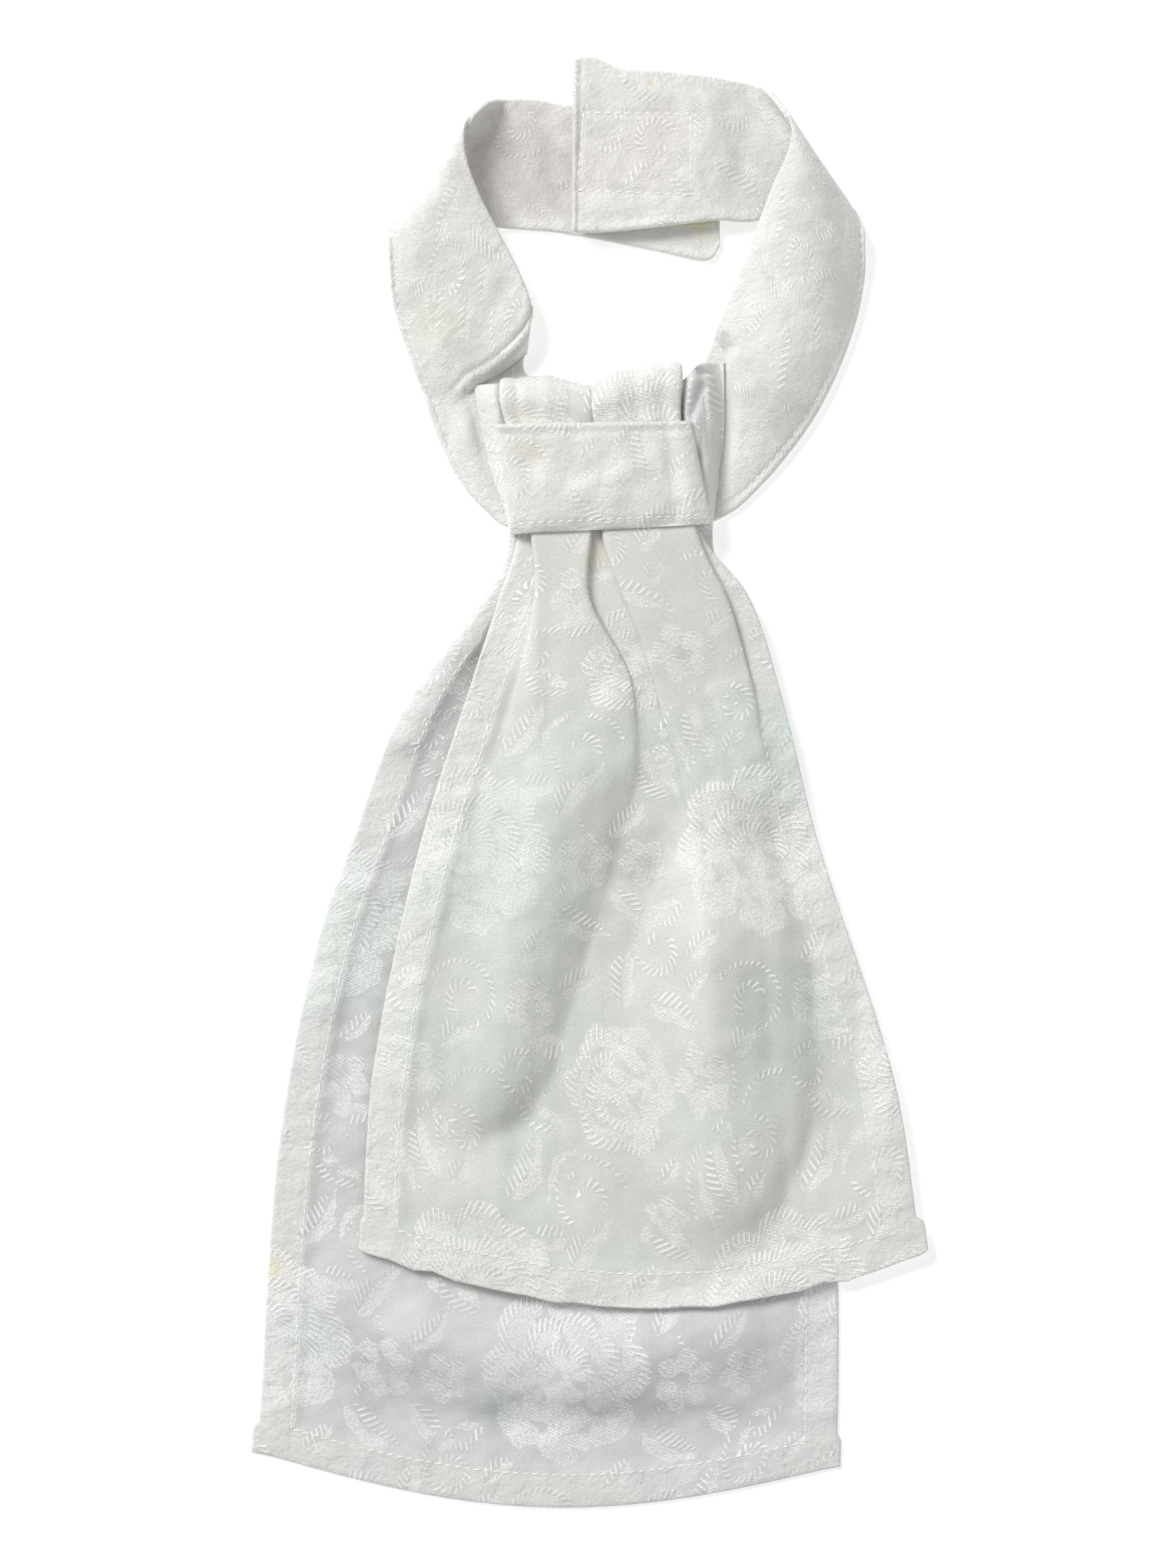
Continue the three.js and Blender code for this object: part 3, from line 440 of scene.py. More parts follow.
unit_corners = np.array([(0, 0, 0), (1, 0, 0), (0, 1, 0), (0, 0, 1)], float)
unit_faces = np.array([(0, 2, 1), (0, 1, 3), (1, 2, 3), (0, 3, 2)])
print("volume of a cube's corner, which is a sixth:", round(signed_volume(unit_corners, unit_faces) / 6, 4))

# %% [markdown]
# A finish is a tree of shader nodes. Each node could be made and linked by its own lines, which are long
# to read. Here one helper puts in a node with its values and links, and another does a sum with a Math
# node, so each finish below reads as a recipe.

# %% Helpers for finishes
def put(tree, kind, inputs=None, **settings):
    """One node: settings are its properties, and inputs its values or the outputs that feed it."""
    made = tree.nodes.new("ShaderNode" + kind)
    for key, value in settings.items():
        setattr(made, key, value)
    for key, value in (inputs or {}).items():
        if isinstance(value, bpy.types.NodeSocket):
            tree.links.new(value, made.inputs[key])
        else:
            made.inputs[key].default_value = value
    return made.outputs


def calc(tree, operation, *values):
    """One sum with a Math node."""
    return put(tree, "Math", dict(enumerate(values)), operation=operation)[0]


def ramp(tree, value, low, high, out_low=0.0, out_high=1.0):
    """Smooth step from out_low to out_high while the value goes from low to high."""
    inputs = {"Value": value, "From Min": low, "From Max": high, "To Min": out_low, "To Max": out_high}
    return put(tree, "MapRange", inputs, interpolation_type="SMOOTHSTEP")[0]


def blend_colour(tree, share, first, second, mode="MIX"):
    """Colour between two, by a share or with another blend mode."""
    inputs = {0: share, 6: first, 7: second}
    return put(tree, "Mix", inputs, data_type="RGBA", blend_type=mode)[2]


def noise(tree, place, scale, detail, roughness=0.5):
    """Noise texture at a place: the larger the scale, the finer the noise."""
    inputs = {"Vector": place, "Scale": scale, "Detail": detail, "Roughness": roughness}
    return put(tree, "TexNoise", inputs)[0]


def carried(tree, field):
    """A number that the mesh carries at each of its points."""
    return put(tree, "Attribute", attribute_name=field)["Fac"]


def new_finish(name):
    """An empty material with its output and one Principled shader."""
    material = bpy.data.materials.new(name)
    material.use_nodes = True
    tree = material.node_tree
    shader = tree.nodes["Principled BSDF"]
    return material, tree, shader


def stripes(tree, coordinate, pitch, slant):
    """Waves from 0 to 1: half plus half the sine of the distance along the slant over the pitch."""
    scale = 2 * np.pi / (pitch * MM)
    direction = (scale * np.cos(slant), scale * np.sin(slant), 0)
    phase = put(tree, "VectorMath", {0: coordinate, 1: direction}, operation="DOT_PRODUCT")[1]
    return calc(tree, "MULTIPLY_ADD", calc(tree, "SINE", phase), 0.5, 0.5)


# %% [markdown]
# The cloth itself: a dull satin ground, motif bodies with fine ribs, and ropes of slanted floats that
# stand a tenth of a millimetre proud. Height goes into bump, and the floats are shinier. Their colour is
# also painted whiter as a highlight, and the gaps between them a little grey as painted shade. Slow noise
# gives the faint green and lilac casts that white satin picks up. A painted image could hold all of this,
# but it blurs close up, and nodes stay sharp at any distance.

# %% The jacquard finish
DASH_PITCH = 1.9
RIB_PITCH = 0.85
RIB_SLANT = 1.15
THREAD_PITCH = 0.42
THREAD_SLANT = 0.55
HEM_WHITE = (0.85, 0.845, 0.815, 1)
BODY_WHITE = (0.90, 0.90, 0.88, 1)
GAP_SHADE_GREY = (0.40, 0.41, 0.40, 1)
FLOAT_HIGHLIGHT_WHITE = (0.98, 0.98, 0.97, 1)
BUMP_DEPTH = 0.2
# Each row is for one noise: the values between which its tint goes from the first to the second.
CASTS = [
    ("cast", 0.38, 0.62, (0.985, 1.0, 0.99, 1), (1.0, 0.992, 0.998, 1)),
    ("mottle", 0.3, 0.75, (0.97, 0.97, 0.97, 1), (1.02, 1.02, 1.015, 1)),
    ("grain", 0.35, 0.68, (0.955, 0.955, 0.955, 1), (1.03, 1.03, 1.03, 1)),
]


def jacquard(name, ground, stains_and_painted_light, bodies, ragged_edge):
    """Jacquard on a ground colour, with (x, y, radius, tint) patches of stain, painted light and shade, and
    bodies as white as asked.
    """
    material, tree, shader = new_finish(name)
    coordinate = put(tree, "UVMap", uv_map="cloth")[0]
    place = put(tree, "TexCoord")["Object"]
    mottle = noise(tree, place, 160.0, 3.0, 0.6)
    ragged = calc(tree, "MULTIPLY_ADD", mottle, ragged_edge, -0.45 * ragged_edge)
    lively = ramp(tree, noise(tree, place, 42.0, 2.0), 0.36, 0.64, 0.45, 1.0)
    body = ramp(tree, calc(tree, "ADD", carried(tree, "motif_body"), ragged), -0.2, 0.35)
    rope = ramp(tree, carried(tree, "motif_rope"), -0.12, 0.18)
    pressed = carried(tree, "hem")
    wave = calc(tree, "SINE", calc(tree, "MULTIPLY", carried(tree, "rope_run"), 2 * np.pi / DASH_PITCH))
    dash = ramp(tree, wave, -0.1, 0.7)
    rib = stripes(tree, coordinate, RIB_PITCH, RIB_SLANT)
    thread = stripes(tree, coordinate, THREAD_PITCH, THREAD_SLANT)
    grain = noise(tree, place, 1400.0, 2.0, 0.6)
    crinkle = noise(tree, place, 380.0, 3.0, 0.7)
    cast = noise(tree, place, 17.0, 1.0)

    spark = ramp(tree, grain, 0.4, 0.6, 0.4, 1.3)
    ribbed = calc(tree, "MULTIPLY", body, calc(tree, "MULTIPLY_ADD", rib, 0.7, 0.3))
    woven = calc(tree, "MULTIPLY", ribbed, calc(tree, "MULTIPLY", lively, spark))
    # Painted shade: the ground between the floats of a rope is greyed.
    gap_shade = calc(tree, "MULTIPLY", rope, calc(tree, "SUBTRACT", 1.0, dash))
    whole = ramp(tree, mottle, 0.32, 0.6, 0.35, 1.0)
    float_on = calc(tree, "MULTIPLY", calc(tree, "MULTIPLY", rope, dash), whole)
    # Painted highlight: the floats are whitened.
    float_highlight = calc(tree, "MULTIPLY", float_on, lively)

    colour = ground
    textures = {"cast": cast, "mottle": mottle, "grain": grain}
    for texture, low, high, first, second in CASTS:
        tint = blend_colour(tree, ramp(tree, textures[texture], low, high), first, second)
        colour = blend_colour(tree, 1.0, colour, tint, "MULTIPLY")
    for share, strength, tint in [
        (pressed, 0.38, HEM_WHITE),
        (woven, bodies, BODY_WHITE),
        (gap_shade, 0.12, GAP_SHADE_GREY),
        (float_highlight, 0.85, FLOAT_HIGHLIGHT_WHITE),
    ]:
        colour = blend_colour(tree, calc(tree, "MULTIPLY", share, strength), colour, tint)
    level = put(tree, "VectorMath", {0: place, 1: (1, 1, 0)}, operation="MULTIPLY")[0]
    # Each patch multiplies the colour by its tint: some are stains and tones, others painted light and
    # painted shade.
    for x, y, radius, tint in stains_and_painted_light:
        apart = put(tree, "VectorMath", {0: level, 1: (x * MM, y * MM, 0)}, operation="DISTANCE")[1]
        uneven = calc(tree, "MULTIPLY_ADD", mottle, radius * MM, apart)
        share = ramp(tree, uneven, radius * MM * 0.7, radius * MM * 1.6, 0.85, 0.0)
        stain_or_painted_light = blend_colour(tree, 1.0, colour, tint, "MULTIPLY")
        colour = blend_colour(tree, share, colour, stain_or_painted_light)
    tree.links.new(colour, shader.inputs["Base Color"])

    roughness = 0.44
    for part, strength in [(float_on, -0.12), (body, 0.10), (grain, 0.08)]:
        roughness = calc(tree, "MULTIPLY_ADD", part, strength, roughness)
    tree.links.new(roughness, shader.inputs["Roughness"])
    shader.inputs["Specular IOR Level"].default_value = 0.5
    shader.inputs["Sheen Weight"].default_value = 0.12
    shader.inputs["Sheen Roughness"].default_value = 0.45

    height = 0.0
    for part, strength in [(float_on, 0.6), (woven, 0.35), (thread, 0.10), (grain, 0.6)]:
        height = calc(tree, "MULTIPLY_ADD", part, strength, height)
    for texture, on_hem, on_wall in [(crinkle, 1.8, 0.3), (mottle, 3.4, 0.7)]:
        either_way = calc(tree, "SUBTRACT", texture, 0.5)
        strength = calc(tree, "MULTIPLY_ADD", pressed, on_hem, on_wall)
        height = calc(tree, "MULTIPLY_ADD", either_way, strength, height)
    bump = put(tree, "Bump", {"Height": height, "Distance": BUMP_DEPTH * MM, "Strength": 1.0})[0]
    tree.links.new(bump, shader.inputs["Normal"])
    return material


print("floats in 10 mm of rope:", round(10 / DASH_PITCH, 1), "and ribs:", round(10 / RIB_PITCH, 1))

# %% [markdown]
# The back tail is the longer panel. It fans out from the knot and lies on the table. A cloth simulation
# could drape it, but a pressed tail keeps the folds that it was given. So it is a height over the plane:
# the wall, a thicker double-turned hem round it, and a few soft folds. Its sizes repeat those of its
# solid, and finer creases are laid over them.

# %% Back tail sizes
TAIL_WALL = 1.2
TAIL_HEM_WALL = 1.65
STITCH_PITCH = 3.0
HEM = 10.6
HEM_EASE = (HEM + 0.3, HEM + 3.4)
HEM_PUFF = 0.22
PUFF_END = HEM + 5
SEAM_RIDGE = 0.06
BACK_TABS = (-1.8, 1.2)


def corner_tab(tabs, u, foot, side):
    """How far a hem's corner sticks out to its side: the tab's width near the foot and the edge, else 0."""
    return np.where(u < 0.5, *tabs) * smooth(HEM - 0.4, HEM - 2.4, foot) * smooth(6, 0, side)


KNOT_PRESSED_WALL = 2.7
PITCH = 1.0
FINE_PITCH = 0.4
BACK_ROW_PITCH = 1.08
FRONT_ROW_PITCH = 1.12
FRONT_TOP_PITCH = 1.3
PAST_HEM = 0.7

BACK = table(
    "at left right lift",
    (-208, -102.0, 76.6, 0.0),
    (-183, -100.3, 77.2, 0.0),
    (-155, -98.9, 77.2, 0.0),
    (-112, -95.3, 76.0, 0.0),
    (-70, -88.4, 72.0, 0.0),
    (-41, -81.2, 69.0, 0.0),
    (-13, -71.0, 64.0, 0.2),
    (1, -66.3, 61.0, 0.5),
    (15, -60.9, 57.0, 0.9),
    (29, -52.9, 52.0, 1.3),
    (43, -42.4, 48.0, 1.7),
    (58, -32.6, 43.5, 2.1),
    (70, -25.4, 39.0, 2.3),
    (80, -24.6, 38.4, 2.3),
    (95, -29.6, 40.4, 2.3),
    (108, -32.8, 41.8, 2.3),
    (122.5, -35.2, 41.6, 2.3),
)
BACK_HEM_BOW = 14.8
BACK_HEM_SLOPE = 4.5
BACK_FLAT_WIDTH = 180
BACK_COLUMNS = 158
NARROW_HEM = 0.09
SIDE_RISE = 7.5
TOP_DROP = 1.4
RIGHT_DROP = 3.0
LEFT_DROP = 1.2
# Places up the tail: where the hem's bow starts, and between which the wall becomes the knot's, the side
# pleats come in and the lift of the folds ends.
BOW_FROM = -60
KNOT_ROWS = (36, 62)
SIDE_PLEAT_ROWS = (62, 72)
LIFT_END_ROWS = (52, 72)
# Each row of a list of folds, creases or strokes is one stroke: x and y of both ends, width and rise.
BACK_FOLDS = [
    (-56, 14, -39, 42, 7, 2.6),
    (-80, -66, -70, -34, 9, 1.4),
    (-50, -170, -26, -178, 14, 5.8),
    (0, -180, 44, -169, 14, 5.9),
    (-76, -160, -64, -148, 12, 2.0),
]
BACK_CREASES = [
    (-62, -196, 58, -197, 6, -0.7),
    (-88, -120, -84, -60, 4, 0.5),
    (-20, -186, 50, -190, 5, 0.6),
    (-76, -100, -70, -20, 5, -0.5),
    (60, -180, 66, -150, 6, 0.9),
]
BACK_CRUMPLE = [(0.35, 26, 0.7), (0.14, 9, 2.1)]
SIDE_PLEATS = [
    (-28.6, 121, -22.6, 84, 3.8, 3.0),
    (28.8, 127, 29.8, 104, 1.8, 2.8),
    (30.8, 127, 32.0, 104, 2.4, 3.4),
    (33.8, 127, 36.2, 84, 3.4, 3.9),
    (38.0, 125, 38.6, 84, 2.4, 1.4),
    (34.6, 121, 31.6, 112, 1.3, -1.2),
    (36.5, 84, 39.0, 72, 3.0, 2.0),
    (-22.6, 84, -25.0, 70, 3.0, 1.7),
    (32.5, 127.5, 39.5, 129, 1.3, 1.3),
    (34, 125.2, 38.5, 126.4, 0.9, -0.9),
    (35.4, 122, 37.0, 100, 0.7, -0.5),
]
back_bottom = BACK["at"][0]
back_top = BACK["at"][-1]


def back_edge(side, y):
    """Place of the back tail's left or right edge at a height up the picture."""
    return along(BACK["at"], BACK[side], y)


def back_underside(x, y):
    """Height of the underside: its rise to the knot, plus what the folds lift it."""
    pressed = 1 - smooth(*LIFT_END_ROWS, y)
    edge = smooth(back_bottom - 6, back_bottom + 20, y)
    lift = np.maximum(along(BACK["at"], BACK["lift"], y), 0)
    return lift + np.maximum(strokes(BACK_FOLDS, x, y) - 0.35, 0) * pressed * edge


def round_over(distance, radius):
    """How far a face drops at an edge that is rounded: radius less the height of a quarter circle."""
    k = np.clip(1 - distance / radius, 0, 1)
    return radius * (1 - np.sqrt(1 - k * k))


def stitch_wave(run, share):
    """Rises and falls once a stitch: 1 less the share, plus the share times a cosine of the run."""
    return 1 - share + share * np.cos(2 * np.pi * run / STITCH_PITCH)


def hem_relief(distance, run):
    """Hem form over its wall: a rippled puff that ends a little past the seam, and a ridge on the seam."""
    ripple = 1 + 0.9 * np.sin(run / 4.1) * np.sin(run / 2.3)
    puff = HEM_PUFF * np.sin(np.pi * np.clip(distance / PUFF_END, 0, 1)) * ripple
    return puff + SEAM_RIDGE * hump(distance, HEM, 0.9) * stitch_wave(run, 0.3)


def pressed_hem(distance):
    """Where the material is a pressed hem: 1 on it, and 0 just past its seam."""
    return 1 - smooth(HEM, HEM + 0.8, distance)


foot_width = back_edge("right", back_bottom) - back_edge("left", back_bottom)
print("back tail: width at its foot", round(float(foot_width), 1), "length", back_top - back_bottom)


# %% Back tail mesh
def edge_lines(hem):
    """Distances from an edge for the grid lines of a hem: close at the rounded edge and at the seam."""
    return np.r_[
        stations([0, 0.3, 0.9], FINE_PITCH),
        stations([0.9, hem - 0.9], PITCH)[1:],
        stations([hem - 0.9, hem - 0.1, hem + PAST_HEM], FINE_PITCH)[1:],
    ]


def back_tail():
    """Rows run down the picture and columns across; the distance to the nearest edge gives the hem."""
    near = edge_lines(HEM)
    rows = np.r_[
        back_top - stations([0, 0.4, 1.2], FINE_PITCH),
        stations([back_top - 1.2, back_bottom + HEM + PAST_HEM], BACK_ROW_PITCH)[1:],
        back_bottom + edge_lines(HEM)[::-1][1:],
    ][:, None]
    wide = back_edge("right", rows) - back_edge("left", rows)
    hem = np.minimum(HEM, NARROW_HEM * wide)
    middle = stations([0, 1], 1 / BACK_COLUMNS)[None, 1:-1]
    first = near[None, :] * hem / HEM
    inner = first[:, -1:]
    across = np.concatenate([first, mix(inner, wide - inner, middle), wide - first[:, ::-1]], 1)
    u = across / wide
    x = back_edge("left", rows) + across
    hem_shape = BACK_HEM_BOW * np.sin(np.pi * u) + BACK_HEM_SLOPE * (u - 0.5)
    y = rows - hem_shape * smooth(BOW_FROM, back_bottom, rows)
    y = y + SIDE_RISE * smooth(100, back_top, rows) * smooth(27, 37, x)
    side = np.minimum(across, wide - across) * HEM / hem
    foot = rows - back_bottom + 0 * x
    inside = np.minimum(side, foot)
    x = x + corner_tab(BACK_TABS, u, foot, side)
    run = np.where(side < foot, rows + 0 * x, x)
    knot = smooth(*KNOT_ROWS, rows)
    wall = mix(TAIL_HEM_WALL, TAIL_WALL, smooth(*HEM_EASE, inside))
    wall = mix(wall, KNOT_PRESSED_WALL, knot)
    flat = 1 - knot
    creases = strokes(BACK_CREASES, x, y) + crumpled(BACK_CRUMPLE, x, y)
    low = back_underside(x, y)
    relief = hem_relief(inside, run) * flat + creases * flat * smooth(0, 16, inside)
    high = low + wall + relief + strokes(SIDE_PLEATS, x, y) * smooth(*SIDE_PLEAT_ROWS, rows)
    high = high - TOP_DROP * smooth(117, back_top, rows) ** 2 - round_over(inside, 1.0)
    high = high - RIGHT_DROP * knot * smooth(7, 0, wide - across) ** 2
    high = high - LEFT_DROP * knot * smooth(4, 0, across) ** 2
    low = low + 0.35 * round_over(inside, 0.9)
    upper = np.stack([x, y, np.maximum(high, low + 0.3)], 2)
    lower = np.stack([x, y, low], 2)
    s = across - BACK_FLAT_WIDTH / 2
    t = rows + 0 * x
    return upper, lower, s, t, pressed_hem(inside)


back_upper, back_lower, back_s, back_t, back_hem = back_tail()
back_fields = cloth_fields(back_s, back_t, BACK_SHIFT, back_hem)
back_mesh = shell_mesh("back_tail_cloth", back_upper, back_lower, back_fields)

# %% [markdown]
# The front tail is one wall folded into a box pleat and two side pleats at the knot. Lower down the same
# folds open into soft waves. A simulation could fold it too, but the photo says where each fold lies. So
# each row of the grid is a polyline: straight faces between folds, and at each fold either a half circle,
# where the cloth turns back, or a gentle step, where the fold has opened. A blur then takes the hardness
# out of the opened part, and strokes press the troughs into it.

# %% Front tail sizes
PLEAT_PITCH = 1.65
SEAM_GAP = 0.3
FRONT_HEM_BOW = 18.4
FRONT_TABS = (-0.9, 2.4)
HEAD_PUFF = 1.2
SOFT_REST = 0.8
FOLD_LINE = 118.0
BEND_CENTRE = 5.9
HEAD_BEND = (88, 75, 62, 50, 37, 25)
SECTION_AT = -np.array([126, 110, 76, 57.5, 29, -18, -89, -142.5])
# Places up the tail between which each of these comes in, from none to whole.
LOOSE_ROWS = (52, 10)
SOFT_ROWS = (66, 24)
CRISP_ROWS = (-12, 24)
OPEN_ROWS = (25, -30)
HEM_ROWS = (50, 20)
STIFF_ROWS = (60, 100)
# How many times the grid is blurred across, across where it is open, and down.
BLURS_ACROSS = 90
BLURS_OPEN = 260
BLURS_DOWN = 30
# Each row is one fold of the cloth, from the left hem to the right one, with its place at each section.
FOLD_PLACES = np.array([
    (-24, -23, -21.6, -27.0, -36.4, -51.2, -66, -69.4),
    (-13, -12, -9, -12, -15.5, -34, -50, -54),
    (-28.4, -24.6, -17, -15.4, -17.5, -26, -38, -43),
    (0.0, 1.3, 0.6, 0.4, 17, 10, -16, -14),
    (-9, -7.5, -5, -4, 14, 16, -4, -2),
    (12, 12.5, 14.5, 20, 28, 34.5, 27, 24),
    (0.7, 2.0, 4.8, 10.6, 20.5, 31, 37, 37.5),
    (29.4, 27.8, 33, 41, 48.5, 53, 62, 64),
    (16, 16.5, 21, 33, 44, 60, 73, 75.5),
    (26, 26, 34.8, 49.2, 58.8, 70.8, 93.5, 102.0),
])
# Each row is the face between two folds, with its height in cloth layers at each section.
FACE_HEIGHTS = np.array([
    (0, 0, 0, 0.2, 1.8, 2.0, 0.9, 0.2),
    (1, 1, 1, 1.1, 2.4, 3.2, 1.5, 0.5),
    (2, 2, 2, 2.1, 3.6, 4.4, 2.2, 0.8),
    (1, 1, 1, 1, 2.0, 2.4, 1.0, 0.6),
    (0, 0, 0, 0, 0.4, 0.6, 0.6, 0.7),
    (1, 1, 1, 1, 2.0, 2.2, 1.3, 1.0),
    (2, 2, 2, 2, 3.6, 3.8, 2.4, 1.2),
    (1, 1, 1, 1, 2.0, 1.8, 0.5, 0.4),
    (0, 0, 0, 0, 0.4, 1.1, 1.0, 0.9),
])
FRONT = table(
    "at base open",
    (-126, 7.75, 0),
    (-110, 7.75, 0),
    (-76, 7.75, 0),
    (-66, 7.3, 0.1),
    (-50, 6.1, 0.5),
    (-29, 4.0, 1.6),
    (18, 2.9, 4.5),
    (89, 2.4, 6),
    (142.5, 3.2, 6),
)
front_bottom = -FRONT["at"][-1]
FRONT_STROKES = [
    (-10, -8, -27, -82, 13, 3.9),
    (-46, -30, -54, -90, 12, 1.8),
    (18, -8, 3, -64, 10, -4.0),
    (-3, -78, -10, -104, 9, -3.4),
    (-14, -94, -34, -106, 7, -2.4),
    (33, -30, 38, -74, 9, 2.6),
    (41, -54, 42, -104, 20, 6.2),
    (62, -16, 74, -58, 9, -2.6),
    (77, -68, 78, -92, 9, -3.0),
    (72, -106, 60, -124, 9, -3.4),
    (48, -134, 30, -141, 8, -2.0),
    (88, -70, 95, -125, 7, 1.0),
]
FRONT_CREASES = [
    (31, 38, 36, 31, 2.6, -0.9),
    (34, 66, 38, 56, 2.4, -0.7),
    (44, 30, 52, 10, 3.2, 0.8),
    (-16, 60, -17, 20, 3.0, 0.7),
    (-30, -100, -16, -96, 4, -0.8),
    (-22, -106, -18, -88, 4, -0.7),
    (5, 20, 16, 34, 5, 0.8),
]
FRONT_CRUMPLE = [(0.4, 30, 1.3), (0.15, 10, 3.1)]
HEAD_CREASES = [
    (-22, 121, -20.5, 104, 1.6, -0.5),
    (-12, 121, -13, 110, 2.2, 0.4),
    (-6, 120, -5, 104, 1.8, -0.4),
    (9, 122, 8, 106, 1.8, 0.4),
    (14, 124, 16, 104, 2.0, -0.5),
    (24, 126, 22, 106, 1.7, -0.5),
]
HEAD_OUTLINE = table(
    "at top",
    (-30, 117.0),
    (-18, 117.8),
    (-7, 117.2),
    (-0.8, 115.0),
    (2, 115.6),
    (7, 118.2),
    (16, 121.0),
    (25, 122.6),
    (31, 121.4),
)


def rest_on_back_tail(x, y):
    """Lowest place for the middle of the front tail's wall: the back tail's top plus a seam's gap."""
    inside = np.minimum(np.minimum(x - back_edge("left", y), back_edge("right", y) - x), y - back_bottom)
    on_hem = 1 - smooth(HEM + 1, HEM + 8, inside)
    wall = mix(mix(TAIL_WALL, TAIL_HEM_WALL + 0.3, on_hem), KNOT_PRESSED_WALL, smooth(34, 60, y))
    return back_underside(x, y) + wall + SEAM_GAP + TAIL_WALL / 2 + 0.25


print("front tail: folds", len(FOLD_PLACES), "from", FOLD_LINE, "down to", front_bottom)

# %% Front tail sections
# Grid steps on each face, and on the turn between two faces.
FACE_STEPS = (14, 8, 28, 10, 10, 14, 22, 10, 14)
TURN_STEPS = 8
SHARP_WIDTH = 7
# The grid column of the right pleat's left edge, the one fold that stays sharp far down the tail.
SHARP_COLUMN = sum(FACE_STEPS[:6]) + 5 * TURN_STEPS + TURN_STEPS // 2


def pleated_sections(y):
    """Points (rows, columns) of x and z: faces are straight, folds are half circles or gentle steps."""
    fold_x = np.stack([along(SECTION_AT, row, -y) for row in FOLD_PLACES])
    unit = mix(PLEAT_PITCH, 1.0, smooth(60, 30, y))
    base = along(FRONT["at"], FRONT["base"], -y)
    face_z = base + np.stack([along(SECTION_AT, row, -y) for row in FACE_HEIGHTS]) * unit
    opened = along(FRONT["at"], FRONT["open"], -y)
    xs, zs = [], []
    start = fold_x[0]
    for face, steps in enumerate(FACE_STEPS):
        last = face == len(FACE_STEPS) - 1
        end = fold_x[face + 1]
        turn = np.where(end >= fold_x[face], 1.0, -1.0)
        z = face_z[face]
        if last:
            fractions = np.linspace(0, 1, steps + 1)[:, None]
            xs.append(mix(start, end, fractions))
            zs.append(z + 0 * fractions * end)
            break
        onward = (fold_x[face + 2] - end) * turn
        back = smooth(1.5, -1.5, onward)
        half = (face_z[face + 1] - z) / 2
        radius = np.abs(half)
        reach = np.minimum(np.minimum(opened, np.abs(end - fold_x[face]) * 0.45), np.abs(onward) * 0.45)
        before = mix(reach, radius, back)
        fractions = np.linspace(0, 1, steps + 1)[:-1, None]
        xs.append(mix(start, end - turn * before, fractions))
        zs.append(z + 0 * fractions * end)
        phase = np.linspace(-1, 1, TURN_STEPS + 1)[:, None]
        arc_x = end - turn * radius * (1 - np.cos(np.pi * phase / 2))
        step_x = end + turn * reach * phase
        xs.append(mix(step_x, arc_x, back)[:-1])
        zs.append((z + half + half * np.sin(np.pi * phase / 2))[:-1])
        start = mix(end + turn * reach, end - turn * radius, back)
    return np.concatenate(xs).T, np.concatenate(zs).T


print("front tail: points across a row", sum(FACE_STEPS) + TURN_STEPS * (len(FACE_STEPS) - 1) + 1)


